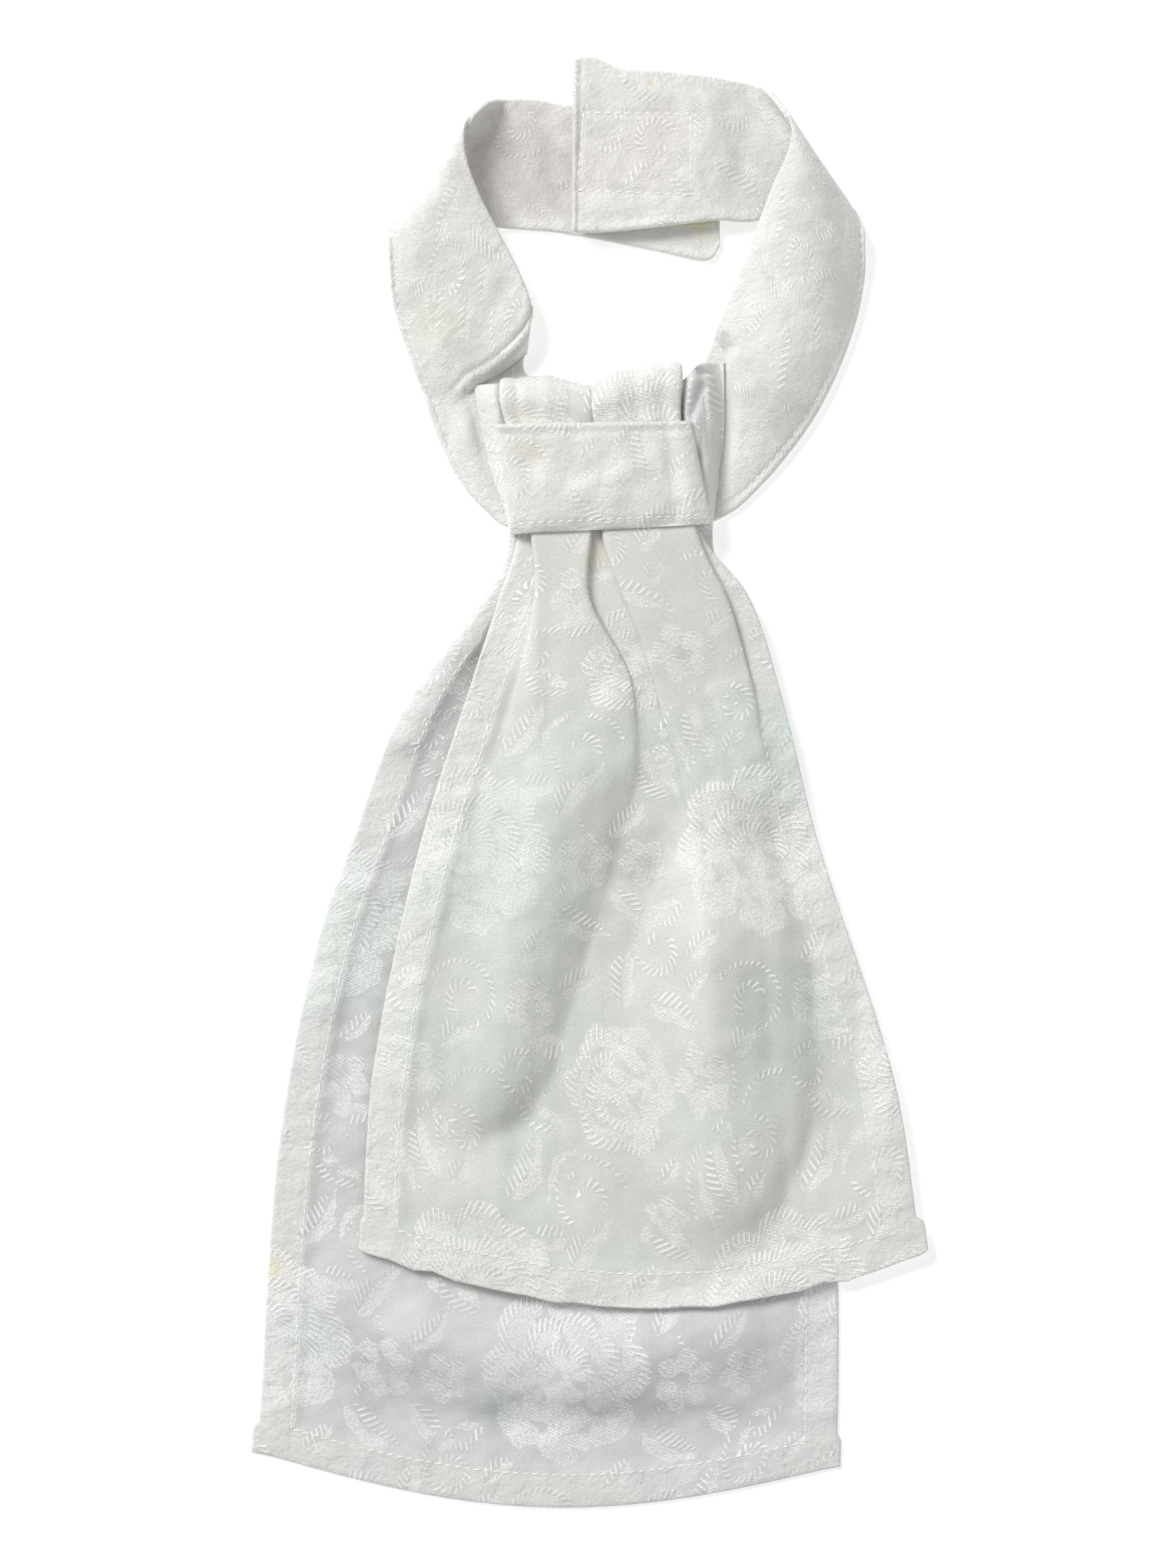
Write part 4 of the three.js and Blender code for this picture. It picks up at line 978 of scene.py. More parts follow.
def front_tail():
    """Head bend, then rows down to the hem; the wall is offset both ways from this middle surface."""
    down = np.r_[
        stations([FOLD_LINE, 112, 76, 50], FRONT_TOP_PITCH),
        stations([50, front_bottom + HEM + PAST_HEM], FRONT_ROW_PITCH)[1:],
        front_bottom + edge_lines(HEM)[::-1][1:],
    ]
    x, z = pleated_sections(down)
    y0 = down[:, None] + 0 * x
    left, right = x[:, :1], x[:, -1:]
    u = np.clip((x - left) / (right - left), 0, 1)
    bow = FRONT_HEM_BOW * smooth(-40, front_bottom, y0) * np.sin(np.pi * u)
    loose = smooth(*LOOSE_ROWS, y0)
    quiet = smooth(front_bottom, front_bottom + 26, y0)
    column = np.arange(x.shape[1])[None, :]
    crisp = hump(column, SHARP_COLUMN, SHARP_WIDTH) * smooth(*CRISP_ROWS, y0)
    soft = smooth(*SOFT_ROWS, y0) * (1 - crisp)
    ends = x[:, :1].copy(), x[:, -1:].copy()
    x = blur(x, soft, BLURS_ACROSS, 1)
    z = blur(z, soft, BLURS_ACROSS, 1)
    fraction = np.linspace(0, 1, x.shape[1])[None, :]
    x = x + mix(ends[0] - x[:, :1], ends[1] - x[:, -1:], fraction)
    z = blur(z, smooth(*OPEN_ROWS, y0), BLURS_OPEN, 1)
    z = blur(z, soft, BLURS_DOWN, 0)
    rise = strokes(FRONT_STROKES, x, y0) * loose * mix(0.25, 1, quiet)
    fine = strokes(FRONT_CREASES, x, y0) * smooth(66, 40, y0)
    fine = fine + strokes(HEAD_CREASES, x, y0) * smooth(98, 108, y0)
    fine = fine + crumpled(FRONT_CRUMPLE, x, y0) * smooth(60, 20, y0)
    head = along(HEAD_OUTLINE["at"], HEAD_OUTLINE["top"], x)
    shift = (head - FOLD_LINE) * smooth(104, FOLD_LINE, y0)
    puff = HEAD_PUFF * smooth(111, 117, y0)
    y = y0 - bow + shift
    base = along(FRONT["at"], FRONT["base"], -y0)
    floor = np.maximum(rest_on_back_tail(x, np.minimum(y, 110)), base)
    lift = floor - base
    over = z + rise - base
    fine = fine * mix(quiet, 1, smooth(*STIFF_ROWS, y0))
    z = base + (over + np.sqrt(over**2 + SOFT_REST**2)) / 2 + fine + lift + puff
    side = np.cumsum(np.hypot(np.diff(x, prepend=x[:, :1]), np.diff(z, prepend=z[:, :1])), 1)
    total = side[:, -1:]
    s = side - total / 2
    side = np.minimum(side, total - side)
    foot = y0 - front_bottom
    x = x + corner_tab(FRONT_TABS, u, foot, side)
    centre = np.stack([x, y, z], 2)
    bends = []
    radius = z[:1] - BEND_CENTRE
    for angle in np.radians(HEAD_BEND):
        beyond = head[:1] + radius * np.sin(angle)
        bends.append(np.stack([x[:1], beyond, BEND_CENTRE + radius * np.cos(angle)], 2))
    count = len(bends)
    centre = np.concatenate(bends + [centre])

    def extend(grid):
        """The grid with its first row repeated for each row of the head's bend."""
        return np.concatenate([grid[:1]] * count + [grid])

    inside = extend(np.minimum(side, foot))
    run = extend(np.where(side < foot, y0, x))
    hemmed = extend(smooth(*HEM_ROWS, y0))
    wall = TAIL_WALL / 2 + (TAIL_HEM_WALL - TAIL_WALL) * hemmed * (1 - smooth(*HEM_EASE, inside))
    relief = hem_relief(inside, run) * hemmed
    normal = normals_of(centre)
    edge = round_over(inside, 0.55)
    upper = centre + normal * (wall + relief - edge)[..., None]
    lower = centre - normal * (TAIL_WALL / 2 - edge)[..., None]
    t = extend(y0)
    t[:count] += np.linalg.norm(centre[count:count + 1] - centre[:count], axis=2)
    return upper, lower, extend(s), t, pressed_hem(inside)


front_upper, front_lower, front_s, front_t, front_hem = front_tail()
print("front tail grid:", front_upper.shape)
front_fields = cloth_fields(front_s, front_t, FRONT_SHIFT, front_hem)
front_mesh = shell_mesh("front_tail_cloth", front_upper, front_lower, front_fields)

# %% [markdown]
# The neckband is one strip, folded double lengthwise. It starts at its left end, folds over at the upper
# left, runs down behind the knot, up the right side, and folds over again to close at the nape. A curve
# with a profile could sweep it, but its two edges part and cross at the folds. So a table of sections
# across the strip says where each edge goes: the folded edge, the stitched edge and the arch between.

# %% Neckband sizes
BAND_WALL = 1.9
BAND_REST = BAND_WALL / 2 + 0.05
BAND = table(
    "at top_x top_y top_z low_x low_y low_z arch",
    (0, 40.5, 203, 1.0, 40.5, 165.0, 1.0, 0),
    (1, 36.5, 206.5, 1.0, 35.5, 161.0, 1.0, 0),
    (1.6, 20, 208, 1.0, 20, 164.2, 1.0, 0),
    (2, -5, 209, 1.0, -5, 169, 1.0, 0.2),
    (3, -14, 210.4, 1.2, -18, 170.4, 1.0, 0.4),
    (4, -21.5, 210.8, 1.6, -31, 171.4, 1.0, 0.4),
    (5, -26.0, 210.4, 3.0, -52, 172.6, 1.3, 0),
    (6, -28.8, 209.4, 6.8, -61, 170.5, 3.6, 0),
    (7, -32.2, 207.0, 10.4, -61.2, 164.5, 5.6, 0.4),
    (8, -36.6, 201.2, 12.6, -60.8, 158, 5.2, 1.2),
    (9, -37.2, 192, 12.8, -60.2, 150, 4.0, 1.8),
    (10, -33.6, 181, 11.6, -58.2, 141, 2.8, 2.4),
    (11, -27.0, 168, 9.6, -54.4, 130, 2.0, 3.0),
    (12, -20.6, 155.6, 9.0, -50.6, 119, 1.6, 2.6),
    (13, -17.0, 145, 8.4, -46.0, 106, 1.3, 2.0),
    (14, -18.6, 136, 6.4, -40.0, 94, 1.1, 1.4),
    (15, -18.8, 126, 2.4, -32.0, 84.5, 1.0, 0.5),
    (16, -4.0, 120, 1.0, -22.0, 78.5, 1.0, 0),
    (17, 9.0, 119, 1.0, 8.0, 77.0, 1.0, 0),
    (18, 24.0, 121, 1.0, 32.0, 79.0, 1.0, 0.3),
    (19, 34.0, 128, 1.2, 44.0, 83.5, 1.0, 1.2),
    (20, 38.6, 137, 4.5, 53.0, 91.5, 1.1, 2.3),
    (21, 43.2, 148, 7.6, 62.0, 102, 1.2, 4.2),
    (22, 47.6, 159, 9.0, 70.6, 114.5, 1.3, 5.6),
    (23, 52.0, 171, 10.0, 77.6, 129, 1.4, 6.4),
    (24, 56.6, 183, 10.6, 82.4, 143, 1.6, 6.4),
    (25, 61.0, 193, 11.0, 84.6, 155, 2.4, 5.2),
    (26, 61.8, 200.4, 10.8, 84.9, 163, 4.0, 2.8),
    (27, 58.4, 207.4, 9.6, 84.4, 169, 5.0, 0.8),
    (28, 53.8, 213.4, 6.6, 80.0, 176, 3.6, 0),
    (29, 50.8, 214.6, 3.6, 70.0, 177, 1.3, 0),
    (30, 44.0, 215.8, 4.4, 51.0, 172.8, 2.6, 0.2),
    (31, 34.0, 217.2, 5.6, 39.5, 172.6, 5.2, 0.2),
    (32, 22.0, 218.4, 5.8, 24.0, 170.8, 5.8, 0),
    (33, 10.0, 219.2, 5.8, 8.5, 169.2, 5.8, 0),
    (34, 2.5, 222.4, 5.8, 0.5, 168.8, 5.8, 0),
    (35, -4.8, 222.9, 5.8, -5.0, 169.0, 5.8, 0),
)
PINCH = {"from": (-16.0, 144.4), "to": (-35.4, 124), "width": 1.8, "bulge": 11.0}
RECTANGLE = [(-1.2, 205.5), (31.6, 204.9), (31.6, 180.3), (-3.3, 181.7)]
RECTANGLE_DIP = [(*a, *b, 0.9, -0.4) for a, b in zip(RECTANGLE, RECTANGLE[1:] + RECTANGLE[:1])]
RECTANGLE_FROM = 30.6
BAND_PRESS = [(-33, 126, -46, 113, 9, -2.4)]
# Rows of the band's table between which each of these is, or from which to which it comes in.
PINCH_ROWS = (11.5, 16.5)
PRESS_ROWS = (11.5, 17)
TAIL_ROWS = (12, 23)
TOP_LAYER_ROWS = (31.2, 31.6)
SEAM_STARTS = (5, 8)
SEAM_ENDS = (29.5, 28)
BAND_SEWN = [(9, 15.6), (18.6, 27)]
BAND_SEAM = 3.0
BAND_CRUMPLE = [(0.35, 22, 4.2), (0.2, 9, 0.4)]
BAND_CREASES = [
    (-52, 150, -44, 128, 4, 0.5),
    (-48, 112, -36, 100, 4, -0.6),
    (60, 140, 72, 118, 5, -0.7),
    (66, 170, 78, 140, 4, 0.7),
    (52, 160, 60, 150, 3, -0.6),
    (-40, 178, -48, 150, 5, -0.7),
    (-24, 152, -34, 138, 3, -0.7),
    (-52, 176, -56, 150, 4, 0.5),
    (20, 212, 36, 209, 3, 0.6),
    (2, 176, 30, 175, 3, 0.5),
    (36, 212, 44, 186, 4, 0.7),
    (-14, 206, -8, 176, 3, -0.6),
    (50, 130, 62, 116, 4, 0.6),
    (44, 118, 56, 104, 3, -0.5),
    (30, 180, 38, 206, 4, 0.6),
    (44, 178, 50, 204, 4, -0.6),
    (-40, 200, -24, 180, 5, 0.5),
]


print("neckband: sections", len(BAND["at"]))


# %% Neckband mesh
def within(at, ends):
    """True between two ends."""
    return (at > ends[0]) & (at < ends[1])


def band_centre(at, across):
    """Middle surface: a straight line between the two edges, raised by an arch 4k(1 - k) between them."""
    read = {name: along(BAND["at"], values, at) for name, values in BAND.items()}
    x = mix(read["top_x"], read["low_x"], across)
    y = mix(read["top_y"], read["low_y"], across)
    z = mix(read["top_z"], read["low_z"], across) + read["arch"] * 4 * across * (1 - across)
    dx, dy = PINCH["to"][0] - PINCH["from"][0], PINCH["to"][1] - PINCH["from"][1]
    beyond = ((x - PINCH["from"][0]) * -dy + (y - PINCH["from"][1]) * dx) / np.hypot(dx, dy)
    along_pinch = ((x - PINCH["from"][0]) * dx + (y - PINCH["from"][1]) * dy) / (dx * dx + dy * dy)
    share = np.clip(along_pinch, 0, 1)
    beyond = beyond - PINCH["bulge"] * share**0.6 * (1 - share)
    near = within(at, PINCH_ROWS) * smooth(1.5, 0.95, along_pinch)
    inner = smooth(-0.4, PINCH["width"], beyond) * near
    roll = 0.45 * hump(beyond, -1.1, 0.8) - 0.45 * hump(beyond, -2.7, 0.8) + 0.3 * hump(beyond, -4.2, 1.2)
    pressed = strokes(BAND_PRESS, x, y) * within(at, PRESS_ROWS)
    z = np.maximum(z + pressed, np.minimum(z, BAND_REST))
    z = mix(z + roll * near * smooth(-0.15, 0.05, along_pinch), BAND_REST, inner)
    under_left = x - back_edge("left", y) - 3 * np.maximum(y - 121, 0)
    under_right = back_edge("right", y) - x - np.maximum(y - 134, 0)
    beside = np.minimum(under_left, under_right)
    covered = smooth(-5, -0.8, beside) * within(at, TAIL_ROWS)
    z = mix(z, BAND_REST, covered)
    return x, y, z, covered


def neckband():
    """Rows along the strip and columns across it, with rounded edges and a seam near the lower one."""
    at = stations(list(BAND["at"]), 0.09)[:, None]
    across = np.r_[
        stations([0, 0.006, 0.02], 0.006),
        stations([0.02, 0.93], 0.0195)[1:],
        stations([0.93, 0.955, 0.98, 0.994, 1], 0.008)[1:],
    ][None, :]
    x, y, z, covered = band_centre(at, across)
    centre = np.stack([x, y, z], 2)
    steps = np.linalg.norm(np.diff(centre, axis=0, prepend=centre[:1]), axis=2)
    s = np.cumsum(steps.mean(1))[:, None] + 0 * x
    chord = np.linalg.norm(centre[:, -1] - centre[:, 0], axis=1)[:, None]
    t = across * chord
    inside = np.minimum(t, chord - t)
    free = 1 - covered
    on_top = smooth(*TOP_LAYER_ROWS, at)
    fine = strokes(BAND_CREASES, x, y) + crumpled(BAND_CRUMPLE, x, y)
    fine = fine + strokes(RECTANGLE_DIP, x, y) * on_top
    end = s.max() - s
    rim = 0.35 * hump(end, 0.9, 0.8) - 0.2 * hump(end, 2.4, 0.6)
    y = y - round_over(end, 3.0) * smooth(9, 0, t)
    centre[..., 1] = y
    sewn = smooth(*SEAM_ENDS, at) * smooth(*SEAM_STARTS, at)
    seam = -0.3 * hump(chord - t, BAND_SEAM, 0.8) * stitch_wave(s, 0.25) * sewn
    puff = 0.25 * np.sin(np.pi * np.clip((chord - t) / BAND_SEAM, 0, 1)) * mix(0.4, 1, sewn)
    normal = normals_of(centre)
    edge = round_over(np.minimum(inside, s.max() - s), 0.9)
    half = BAND_WALL / 2 - edge
    fine = fine * free * smooth(0, 8, inside)
    faces = []
    for side in (1, -1):
        facing = normal[..., 2] * side > 0
        grow = np.where(facing, (seam + puff + rim) * free, 0)
        faces.append(centre + side * normal * (half + grow)[..., None])
    for grid in faces:
        grid[..., 2] += fine * 0.6
    lowest = min(float(grid[..., 2].min()) for grid in faces)
    for grid in faces:
        grid[..., 2] = np.maximum(grid[..., 2], 0.05)
    print("neckband length:", round(float(s.max()), 1), "lowest before it rests:", round(lowest, 2))
    hem = 0.6 + 0.4 * smooth(3.4, 2.8, inside)
    return faces[0], faces[1], s, t, hem, at[:, 0], across[0], chord[:, 0]


band_upper, band_lower, band_s, band_t, band_hem, band_at, band_across, band_chord = neckband()
print("neckband grid:", band_upper.shape)
band_fields = cloth_fields(band_s, band_t, BAND_SHIFT, band_hem)
band_mesh = shell_mesh("neckband_cloth", band_upper, band_lower, band_fields, step=1)

# %% [markdown]
# The knot band is a strip that goes right round the front tail's pleats. A bent plane would show its
# front only. A superellipse gives a whole loop with a flat front and tight round sides. Its upper edge is
# turned, and its lower edge is topstitched.

# %% Knot band
KNOT_WALL = 1.4
KNOT_TOP = {"left": -28.4, "right": 31.6, "y": 109.5}
KNOT_BOTTOM = {"left": -23.6, "right": 37.6, "y": 76.0}
KNOT_UNDER = 5.3
KNOT_OVER = 12.0
KNOT_CREASES = [
    (14, 104, 26, 84, 4, -0.7),
    (-16, 98, 4, 92, 5, -0.6),
    (-20, 86, 18, 88, 6, 0.5),
    (20, 82, 34, 90, 3.5, 0.5),
    (24, 108, 27, 80, 2.4, -0.6),
    (29, 106, 32, 82, 2.4, 0.4),
    (-2, 90, 16, 96, 3, 0.6),
    (-22, 104, -14, 88, 3, -0.5),
]
KNOT_CRUMPLE = [(0.3, 15, 2.9)]
KNOT_SEAM = 2.8
KNOT_BOW = 0.9
KNOT_SLANT = (1.0, 3.0)
KNOT_PRESSED = 0.7
KNOT_POWER = 0.4
KNOT_ASPECT = 7.5
KNOT_COLUMNS = 281
KNOT_FRONT_COLUMNS = (10, 131)


def superellipse(power, aspect, count):
    """Unit ring of points at even lengths: powers of cosine and sine, measured as wide as the aspect."""
    angle = np.linspace(0, 2 * np.pi, 8001)
    across = np.sign(np.cos(angle)) * np.abs(np.cos(angle)) ** power
    upward = np.sign(np.sin(angle)) * np.abs(np.sin(angle)) ** power
    run = np.r_[0, np.cumsum(np.hypot(np.diff(across) * aspect, np.diff(upward)))]
    even = np.linspace(0, run[-1], count)
    return np.interp(even, run, across)[None, :], np.interp(even, run, upward)[None, :]


def knot_band():
    """Rings down the band; on each, half width and half height times the unit superellipse."""
    down = np.r_[
        stations([0, 0.015, 0.05], 0.01),
        stations([0.05, 0.9], 0.026)[1:],
        stations([0.9, 0.95, 0.985, 1], 0.01)[1:],
    ][:, None]
    across, upward = superellipse(KNOT_POWER, KNOT_ASPECT, KNOT_COLUMNS)
    left = mix(KNOT_TOP["left"], KNOT_BOTTOM["left"], down)
    right = mix(KNOT_TOP["right"], KNOT_BOTTOM["right"], down)
    y = mix(KNOT_TOP["y"], KNOT_BOTTOM["y"], down)
    half_wide = (right - left) / 2
    half_high = (KNOT_OVER + KNOT_WALL - KNOT_UNDER) / 2
    middle_x = (left + right) / 2
    middle_z = KNOT_UNDER + half_high
    length = KNOT_TOP["y"] - KNOT_BOTTOM["y"]
    edge = np.minimum(down, 1 - down) * length
    turn_in = round_over(edge, 0.6)
    lip = 0.3 * hump(down * length, 1.2, 0.9) - 0.25 * hump(down * length, 3.2, 0.8)
    seam = -0.3 * hump((1 - down) * length, KNOT_SEAM, 0.7)
    grids = []
    for outer in (True, False):
        shrink = turn_in if outer else KNOT_WALL - turn_in
        x = middle_x + (half_wide - shrink) * across
        z = middle_z + (half_high - shrink) * upward
        here = y + mix(*KNOT_SLANT, down) * ((x - left) / (right - left))
        if outer:
            over = smooth(middle_z + 1, KNOT_OVER, z)
            bow = KNOT_BOW * np.sin(np.pi * down) * (1 - ((x - middle_x) / half_wide) ** 2)
            relief = lip + seam * stitch_wave(x, 0.2) + strokes(KNOT_CREASES, x, here) + bow
            relief = relief + crumpled(KNOT_CRUMPLE, x, here) - smooth(0.9, 1, down)
            z = z + relief * over
        grids.append(np.stack([x, here, z], 2))
    return grids


def loop_mesh(name, outer, inner, fields):
    """Closed mesh between an outer and an inner loop of rings; the first and last columns are one."""
    rows, cols = outer.shape[0], outer.shape[1] - 1
    points = np.concatenate([outer[:, :-1].reshape(-1, 3), inner[:, :-1].reshape(-1, 3)])
    ring = np.arange(rows * cols).reshape(rows, cols)
    ring = np.concatenate([ring, ring[:, :1]], 1)
    inside = ring + rows * cols
    quads = [
        np.stack([ring[:-1, :-1], ring[:-1, 1:], ring[1:, 1:], ring[1:, :-1]], 2).reshape(-1, 4),
        np.stack([inside[:-1, :-1], inside[1:, :-1], inside[1:, 1:], inside[:-1, 1:]], 2).reshape(-1, 4),
        np.stack([ring[0, :-1], inside[0, :-1], inside[0, 1:], ring[0, 1:]], 1),
        np.stack([ring[-1, :-1], ring[-1, 1:], inside[-1, 1:], inside[-1, :-1]], 1),
    ]
    flat = {}
    for field, values in fields.items():
        flat[field] = np.concatenate([values[:, :-1].reshape(rows * cols, -1)] * 2)
    return cloth_mesh(name, points, [np.concatenate(quads)], flat)


knot_outer, knot_inner = knot_band()
knot_x, knot_y = knot_outer[..., 0], knot_outer[..., 1]
knot_fields = cloth_fields(knot_x, knot_y, KNOT_SHIFT, KNOT_PRESSED + 0 * knot_x)
knot_mesh = loop_mesh("knot_band_cloth", knot_outer, knot_inner, knot_fields)

# %% [markdown]
# Stitches are real thread. Bump could draw them, but thread has a side that catches the light, so each
# one is a small closed bead that sinks into the cloth. A seam is a row of them at three-millimetre steps
# along a line of grid points.

# %% Stitches
STITCH_LENGTH = 2.1
STITCH_WIDTH = 0.5
STITCH_HEIGHT = STITCH_WIDTH * 0.4
STITCH_LIFT = 0.06
STITCH_SLANT = 0.12
AHEAD = 0.8
SIDES = 6
# Each ring of a bead of length 1 is a place along it and a width.
BEAD_RINGS = [(-0.42, 0.62), (-0.2, 1.0), (0.2, 1.0), (0.42, 0.62)]


def bead():
    """Unit bead along x: rings whose width follows a rounded profile, closed by a point at each end."""
    turn = [(k, (k + 1) % SIDES) for k in range(SIDES)]
    points = [(-0.5, 0, 0)]
    for x, width in BEAD_RINGS:
        for k in range(SIDES):
            angle = 2 * np.pi * k / SIDES
            points.append((x, width / 2 * np.cos(angle), width / 2 * np.sin(angle)))
    points.append((0.5, 0, 0))
    tip = len(points) - 1
    last = tip - SIDES
    faces = [(0, 1 + b, 1 + a) for a, b in turn]
    for ring in range(1, last, SIDES):
        faces += [(ring + a, ring + b, ring + SIDES + b, ring + SIDES + a) for a, b in turn]
    faces += [(last + a, last + b, tip) for a, b in turn]
    return np.array(points), faces


def seam_frames(points, normals):
    """Places, directions and normals of the stitches: even steps of length along a line of points."""
    run = np.r_[0, np.cumsum(np.linalg.norm(np.diff(points, axis=0), axis=1))]
    places = np.arange(STITCH_PITCH / 2, run[-1], STITCH_PITCH)

    def pick(values, at):
        """The three columns of a line, read between its points."""
        return np.stack([np.interp(at, run, values[:, k]) for k in range(3)], 1)

    centre = pick(points, places)
    ahead = pick(points, places + AHEAD) - pick(points, places - AHEAD)
    ahead /= np.maximum(np.linalg.norm(ahead, axis=1, keepdims=True), 1e-9)
    up = pick(normals, places)
    up -= ahead * (up * ahead).sum(1, keepdims=True)
    up /= np.maximum(np.linalg.norm(up, axis=1, keepdims=True), 1e-9)
    return centre, ahead, up


def stitch_mesh(name, lines):
    """All the stitches of one piece as a single mesh: the bead placed on each frame of each line."""
    unit, faces = bead()
    unit = unit * (STITCH_LENGTH, STITCH_WIDTH, STITCH_HEIGHT)
    unit[:, 1] += unit[:, 0] * STITCH_SLANT
    frames = [seam_frames(*line) for line in lines]
    centre, ahead, up = (np.concatenate(part)[:, None] for part in zip(*frames))
    aside = np.cross(up, ahead)
    points = centre + unit[:, :1] * ahead + unit[:, 1:2] * aside + unit[:, 2:] * up
    starts = range(0, len(centre) * len(unit), len(unit))
    mesh = bpy.data.meshes.new(name)
    polygons = [tuple(start + i for i in face) for start in starts for face in faces]
    mesh.from_pydata(points.reshape(-1, 3) * MM, [], polygons)
    mesh.polygons.foreach_set("use_smooth", np.ones(len(mesh.polygons), bool))
    print(name, "stitches:", len(centre))
    return mesh


def facing_up(grid):
    """Normals of a grid, each turned to its upper side."""
    normal = normals_of(grid)
    return normal * np.where(normal[..., 2:] < 0, -1, 1)


def seam_on(grid, rows, cols):
    """A line of points on a grid, lifted along the normals there."""
    up = facing_up(grid)[rows, cols]
    return grid[rows, cols] + up * STITCH_LIFT, up


def seam_between(grid, rows, columns, wanted):
    """A line that keeps a distance from an edge: on each row, the point between two columns that has it."""
    right = np.clip([np.searchsorted(columns, w) for w in wanted], 1, len(columns) - 1)
    share = ((wanted - columns[right - 1]) / (columns[right] - columns[right - 1]))[:, None]
    up = facing_up(grid)[rows, right]
    return mix(grid[rows, right - 1], grid[rows, right], share) + up * STITCH_LIFT, up


def seam_over(grid, corners):
    """A closed line over a surface: each step has the height and normal of the nearest grid point."""
    points = grid.reshape(-1, 3)
    line = []
    for (x0, y0), (x1, y1) in zip(corners, corners[1:] + corners[:1]):
        k = np.linspace(0, 1, 25)[:-1, None]
        line.append(np.concatenate([mix(x0, x1, k), mix(y0, y1, k)], 1))
    line = np.concatenate(line + [line[0][:1]])
    near = ((line[:, None] - points[None, :, :2]) ** 2).sum(2).argmin(1)
    up = facing_up(grid).reshape(-1, 3)[near]
    return np.column_stack([line, points[near, 2]]) + up * STITCH_LIFT, up


# %% Seams of each piece
def nearest(values, target):
    """Index of the grid line nearest to a distance."""
    return int(np.abs(values - target).argmin())


# How far up each tail its side seams go, and how far in from the edge they are.
BACK_SEWN_TO = 40
FRONT_SEWN_TO = 58
BACK_SEAM_AT = HEM - 0.5
FRONT_SEAM_AT = HEM - 0.6

seam_step = nearest(edge_lines(HEM), BACK_SEAM_AT)
back_foot = back_upper.shape[0] - 1 - seam_step
back_side = slice(nearest(back_t[:, 0], BACK_SEWN_TO), back_foot)
back_across = slice(seam_step, back_upper.shape[1] - seam_step)
back_seams = [
    seam_on(back_upper, back_side, seam_step),
    seam_on(back_upper, back_side, back_upper.shape[1] - 1 - seam_step),
    seam_on(back_upper, back_foot, back_across),
]
back_stitches = stitch_mesh("back_tail_stitches", back_seams)

front_foot = front_upper.shape[0] - 1 - seam_step
front_side = np.arange(nearest(front_t[:, 0], FRONT_SEWN_TO), front_foot)
left_cols = np.array([nearest(front_s[r], front_s[r, 0] + FRONT_SEAM_AT) for r in front_side])
right_cols = np.array([nearest(front_s[r], front_s[r, -1] - FRONT_SEAM_AT) for r in front_side])
front_across = np.arange(left_cols[-1], right_cols[-1])
front_seams = [
    seam_on(front_upper, front_side, left_cols),
    seam_on(front_upper, front_side, right_cols),
    seam_on(front_upper, front_foot, front_across),
]
front_stitches = stitch_mesh("front_tail_stitches", front_seams)

band_seams = []
for first, last in BAND_SEWN:
    rows = np.arange(nearest(band_at, first), nearest(band_at, last))
    wanted = 1 - BAND_SEAM / band_chord[rows]
    band_seams.append(seam_between(band_lower, rows, band_across, wanted))
band_seams.append(seam_over(band_upper[nearest(band_at, RECTANGLE_FROM):], RECTANGLE))
band_stitches = stitch_mesh("neckband_stitches", band_seams)

knot_row = nearest(knot_outer[:, 0, 1], knot_outer[-1, 0, 1] + KNOT_SEAM)
knot_seams = [seam_on(knot_outer, knot_row, np.arange(*KNOT_FRONT_COLUMNS))]
knot_stitches = stitch_mesh("knot_band_stitches", knot_seams)

# %% [markdown]
# The two tape patches close the neckband at the nape. One shows only as a thin yellowish edge, and the
# other hides under its rectangle of stitching. They could be modelled again, but their solids are plain
# plates already, so each is a copy of its solid with bevelled edges.

# %% Tape patches
PATCH_BEVEL = 0.3
PATCH_WELD = 0.01


def patch_pad(node):
    """A copy of the CAD patch's own mesh without its finish, which two modifiers weld and bevel later."""
    low, high = (np.array(corner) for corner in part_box(node))
    print(node, "box in millimetres:", np.round((high - low) / MM, 1))
    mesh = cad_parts[node].data.copy()
    mesh.materials.clear()
    return mesh


# %% [markdown]
# One jacquard makes all four cloths, each on its own ground colour, because the photo shows one a little
# lighter or warmer than another. Broad tints and small marks could be painted on an image. Here each is a
# round patch with a soft edge. Thread and tape are plain fibres with one fine texture each.

# %% Finishes
BACK_GROUND = (0.655, 0.650, 0.641, 1)
FRONT_GROUND = (0.668, 0.684, 0.652, 1)
BAND_GROUND = (0.720, 0.717, 0.685, 1)
KNOT_GROUND = (0.678, 0.670, 0.641, 1)
